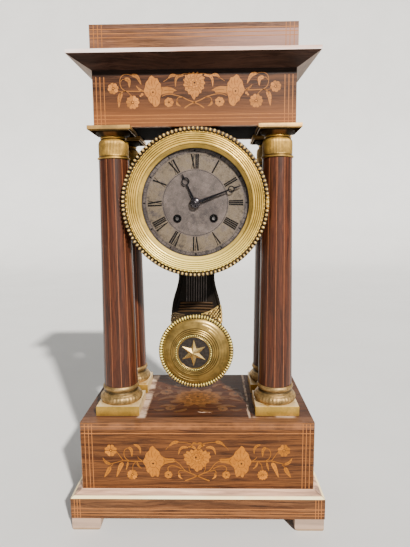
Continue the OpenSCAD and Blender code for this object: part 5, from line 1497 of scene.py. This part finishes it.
def lyre():
    """Stamped lyre: a plate with rolled arms, a row of strings and a cross band; the two leaves of scales are made by
    lyre_leaf.
    """
    parts = []
    half = rounded(LYRE_OUT, 5)
    ring = [(x, z) for x, z in half] + [(-x, z) for x, z in reversed(half)]
    n = len(ring)
    v = [(x, 21.45, z) for x, z in ring] + [(x, 20.3, z) for x, z in ring]
    f = [tuple(range(n)), tuple(range(2 * n - 1, n - 1, -1))] + [(i, n + i, n + (i + 1) % n, (i + 1) % n) for i in range(n)]
    parts.append((v, f))

    def tube(pts, rad, y=19.7, flat=0.75, nn=10):
        vv, ff = [], []
        k = len(pts)
        for i, (x, z) in enumerate(pts):
            a, b = pts[max(0, i - 1)], pts[min(k - 1, i + 1)]
            d = Vector((b[0] - a[0], 0, b[1] - a[1])).normalized()
            s_ = Vector((0, 1, 0)).cross(d)
            r_ = rad(i / (k - 1)) if callable(rad) else rad
            for e in range(nn):
                t = 2 * math.pi * e / nn
                p = Vector((x, y, z)) + s_ * (r_ * math.cos(t)) + Vector((0, 1, 0)) * (r_ * flat * math.sin(t))
                vv.append(tuple(p))
        for i in range(k - 1):
            for e in range(nn):
                e2 = (e + 1) % nn
                ff.append((i * nn + e, i * nn + e2, (i + 1) * nn + e2, (i + 1) * nn + e))
        ff.append(tuple(reversed(range(nn))))
        ff.append(tuple(range((k - 1) * nn, k * nn)))
        return vv, ff
    for s in (-1, 1):
        arm = [(s * (x - 1.9), z) for x, z in rounded(LYRE_OUT[5:14], 6)]
        parts.append(tube(arm, lambda t: 1.5 + 0.5 * math.sin(math.pi * t), 20.0))
        inner = [(s * (x - 5.6), z) for x, z in rounded(LYRE_OUT[6:12], 6)]
        parts.append(tube(inner, 0.8, 20.2))
        scroll = [(s * (17.0 + (3.6 - 3.2 * t) * math.cos(7.5 * t + 0.2)), 258.2 + (3.6 - 3.2 * t) * math.sin(7.5 * t + 0.2)) for t in [i / 28 for i in range(29)]]
        parts.append(tube(scroll, lambda t: 1.1 - 0.4 * t, 19.9))
    # curled ends beside the bob
    for s in (-1, 1):
        curl = [(s * (26.9 + (2.2 - 1.7 * t) * math.cos(5.6 * t + 0.3)), 201.4 - (2.2 - 1.7 * t) * math.sin(5.6 * t + 0.3)) for t in [i / 20 for i in range(21)]]
        parts.append(tube(curl, lambda t: 0.95 - 0.35 * t, 19.9, nn=8))
    wires = [tube([(i * 2.85, 218.4), (i * 2.85, 237.0), (i * 2.85, 256.0)], 0.40, 19.95, 1.0, 8) for i in range(-4, 5)]
    bars = [tube([(-w_ + 2 * w_ * i / 12, z + 0.5 * math.cos(math.pi * (i / 12 - 0.5))) for i in range(13)], r_, 20.1, 0.8, 10)
            for z, r_, w_ in ((257.4, 1.1, 17), (216.9, 1.4, 19), (213.4, 1.0, 20), (210.2, 1.3, 21), (206.6, 0.9, 22))]
    return join(parts), join(wires), join(bars)


def lyre_leaf(s, edge, tip, floor_, small=1.0):
    """Stamped leaf of scales above the bob's rim; edge is its upper outline, floor_ its lower right limit."""
    rim = 45.35
    top = rounded(edge, 6)

    def z_top(x):
        for (xa, za), (xb, zb) in zip(top, top[1:]):
            if xa <= x <= xb:
                return za + (zb - za) * (x - xa) / max(1e-6, xb - xa)
        return None
    parts = []
    row, z = 0, 216.0
    while z > floor_:
        x = tip[0] + (1.75 if row % 2 else 0.0)
        while x < 30.0:
            zt = z_top(x)
            zb = 158.6 + math.sqrt(rim * rim - x * x)
            if zt is not None and zb + 0.7 < z < zt - 0.6:
                ang = 0.55
                u = Vector((s * math.cos(ang), 0, math.sin(ang)))
                w_ = Vector((-s * math.sin(ang), 0, math.cos(ang)))
                parts.append(ball(s * x, 19.75, z, 1.62 * small, 1.12 * small, 1.05, 10, 6, (u, w_, Vector((0, -1, 0)))))
            x += 3.5
        z -= 2.45
        row += 1
    vv, ff = [], []
    n = len(top)
    for i, (x, z) in enumerate(top):
        a, b = top[max(0, i - 1)], top[min(n - 1, i + 1)]
        d = Vector((b[0] - a[0], 0, b[1] - a[1])).normalized()
        q = Vector((0, 1, 0)).cross(d)
        rad = (0.95 - 0.25 * i / n) * small
        for e in range(8):
            t = 2 * math.pi * e / 8
            p = Vector((x, 19.6, z)) + q * (rad * math.cos(t)) + Vector((0, 1, 0)) * (rad * 0.8 * math.sin(t))
            vv.append((s * p.x, p.y, p.z))
    for i in range(n - 1):
        for e in range(8):
            e2 = (e + 1) % 8
            ff.append((i * 8 + e, i * 8 + e2, (i + 1) * 8 + e2, (i + 1) * 8 + e))
    ff.append(tuple(reversed(range(8))))
    ff.append(tuple(range((n - 1) * 8, n * 8)))
    if s < 0:
        ff = [tuple(reversed(q)) for q in ff]
    parts.append((vv, ff))
    # backing blade behind the scales
    lowr = [(x, 158.6 + math.sqrt(43.6 * 43.6 - x * x)) for x in [top[-1][0] - (top[-1][0] - top[0][0]) * i / 10 for i in range(11)]]
    ring = [(x, z) for x, z in top] + lowr
    n = len(ring)
    bv_ = [(s * x, 20.35, z) for x, z in ring] + [(s * x, 19.75, z) for x, z in ring]
    bf_ = [tuple(range(n)), tuple(range(2 * n - 1, n - 1, -1))] + [(i, n + i, n + (i + 1) % n, (i + 1) % n) for i in range(n)]
    if s < 0:
        bf_ = [tuple(reversed(q)) for q in bf_]
    # smooth curl where the leaf meets the rim
    e1 = Vector((s * 0.72, 0, -0.69))
    parts.append(ball(s * 27.4, 19.8, 196.6 if s > 0 else 197.8, 2.7, 1.9 * small, 1.15, 14, 10, (e1, Vector((s * 0.69, 0, 0.72)), Vector((0, -1, 0)))))
    return join(parts), (bv_, bf_)


body_, wires, bars = lyre()
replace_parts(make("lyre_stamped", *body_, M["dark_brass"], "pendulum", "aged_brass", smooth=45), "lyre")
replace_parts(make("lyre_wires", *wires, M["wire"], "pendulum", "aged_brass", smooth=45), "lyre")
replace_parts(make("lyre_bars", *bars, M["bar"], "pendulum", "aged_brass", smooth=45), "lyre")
RIGHT_EDGE = [(6.0, 203.6), (11.0, 205.0), (17.0, 207.6), (23.0, 211.4), (27.2, 215.0), (28.6, 213.6), (29.4, 209.0), (29.9, 203.0), (30.4, 194.6)]
LEFT_EDGE = [(14.0, 202.6), (18.0, 203.0), (22.0, 203.8), (26.0, 204.6), (28.6, 203.4), (29.4, 199.0), (30.0, 194.8)]
leaf_r, blade_r = lyre_leaf(1, RIGHT_EDGE, (7.0, 203.0), 193.0)
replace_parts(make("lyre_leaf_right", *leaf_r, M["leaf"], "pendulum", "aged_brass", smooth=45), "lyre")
leaf_l, blade_l = lyre_leaf(-1, LEFT_EDGE, (15.0, 203.0), 193.0, 0.9)
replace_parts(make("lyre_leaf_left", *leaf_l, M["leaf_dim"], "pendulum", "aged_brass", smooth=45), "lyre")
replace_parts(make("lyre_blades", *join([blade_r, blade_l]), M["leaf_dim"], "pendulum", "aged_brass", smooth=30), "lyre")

# ---------------------------------------------------------------- floor, light
path = [(-4.0, 0.0), (2.0, 0.0)] + [(2.0 + 1.2 * math.sin(math.radians(a)), 1.2 - 1.2 * math.cos(math.radians(a))) for a in range(6, 91, 6)] + [(3.2, 5.0)]
me = bpy.data.meshes.new("floor")
me.from_pydata([(x, y, z) for y, z in path for x in (-5, 5)], [], [(2 * i, 2 * i + 1, 2 * i + 3, 2 * i + 2) for i in range(len(path) - 1)])
me.materials.append(M["floor"])
me.shade_smooth()
floor = bpy.data.objects.new("floor", me)
bpy.context.scene.collection.objects.link(floor)

world = bpy.data.worlds.new("studio")
bpy.context.scene.world = world
world.use_nodes = True
bg = world.node_tree.nodes["Background"]
bg.inputs[0].default_value = (0.90, 0.94, 1.0, 1)
bg.inputs[1].default_value = 0.27

d = bpy.data.lights.new("key", "SUN")
d.energy, d.angle, d.color = 9.0, math.radians(2.4), (1.0, 0.965, 0.91)
key = bpy.data.objects.new("key", d)
key.rotation_euler = Vector((-0.50, 1.0, -0.74)).to_track_quat("-Z", "Y").to_euler()
bpy.context.scene.collection.objects.link(key)
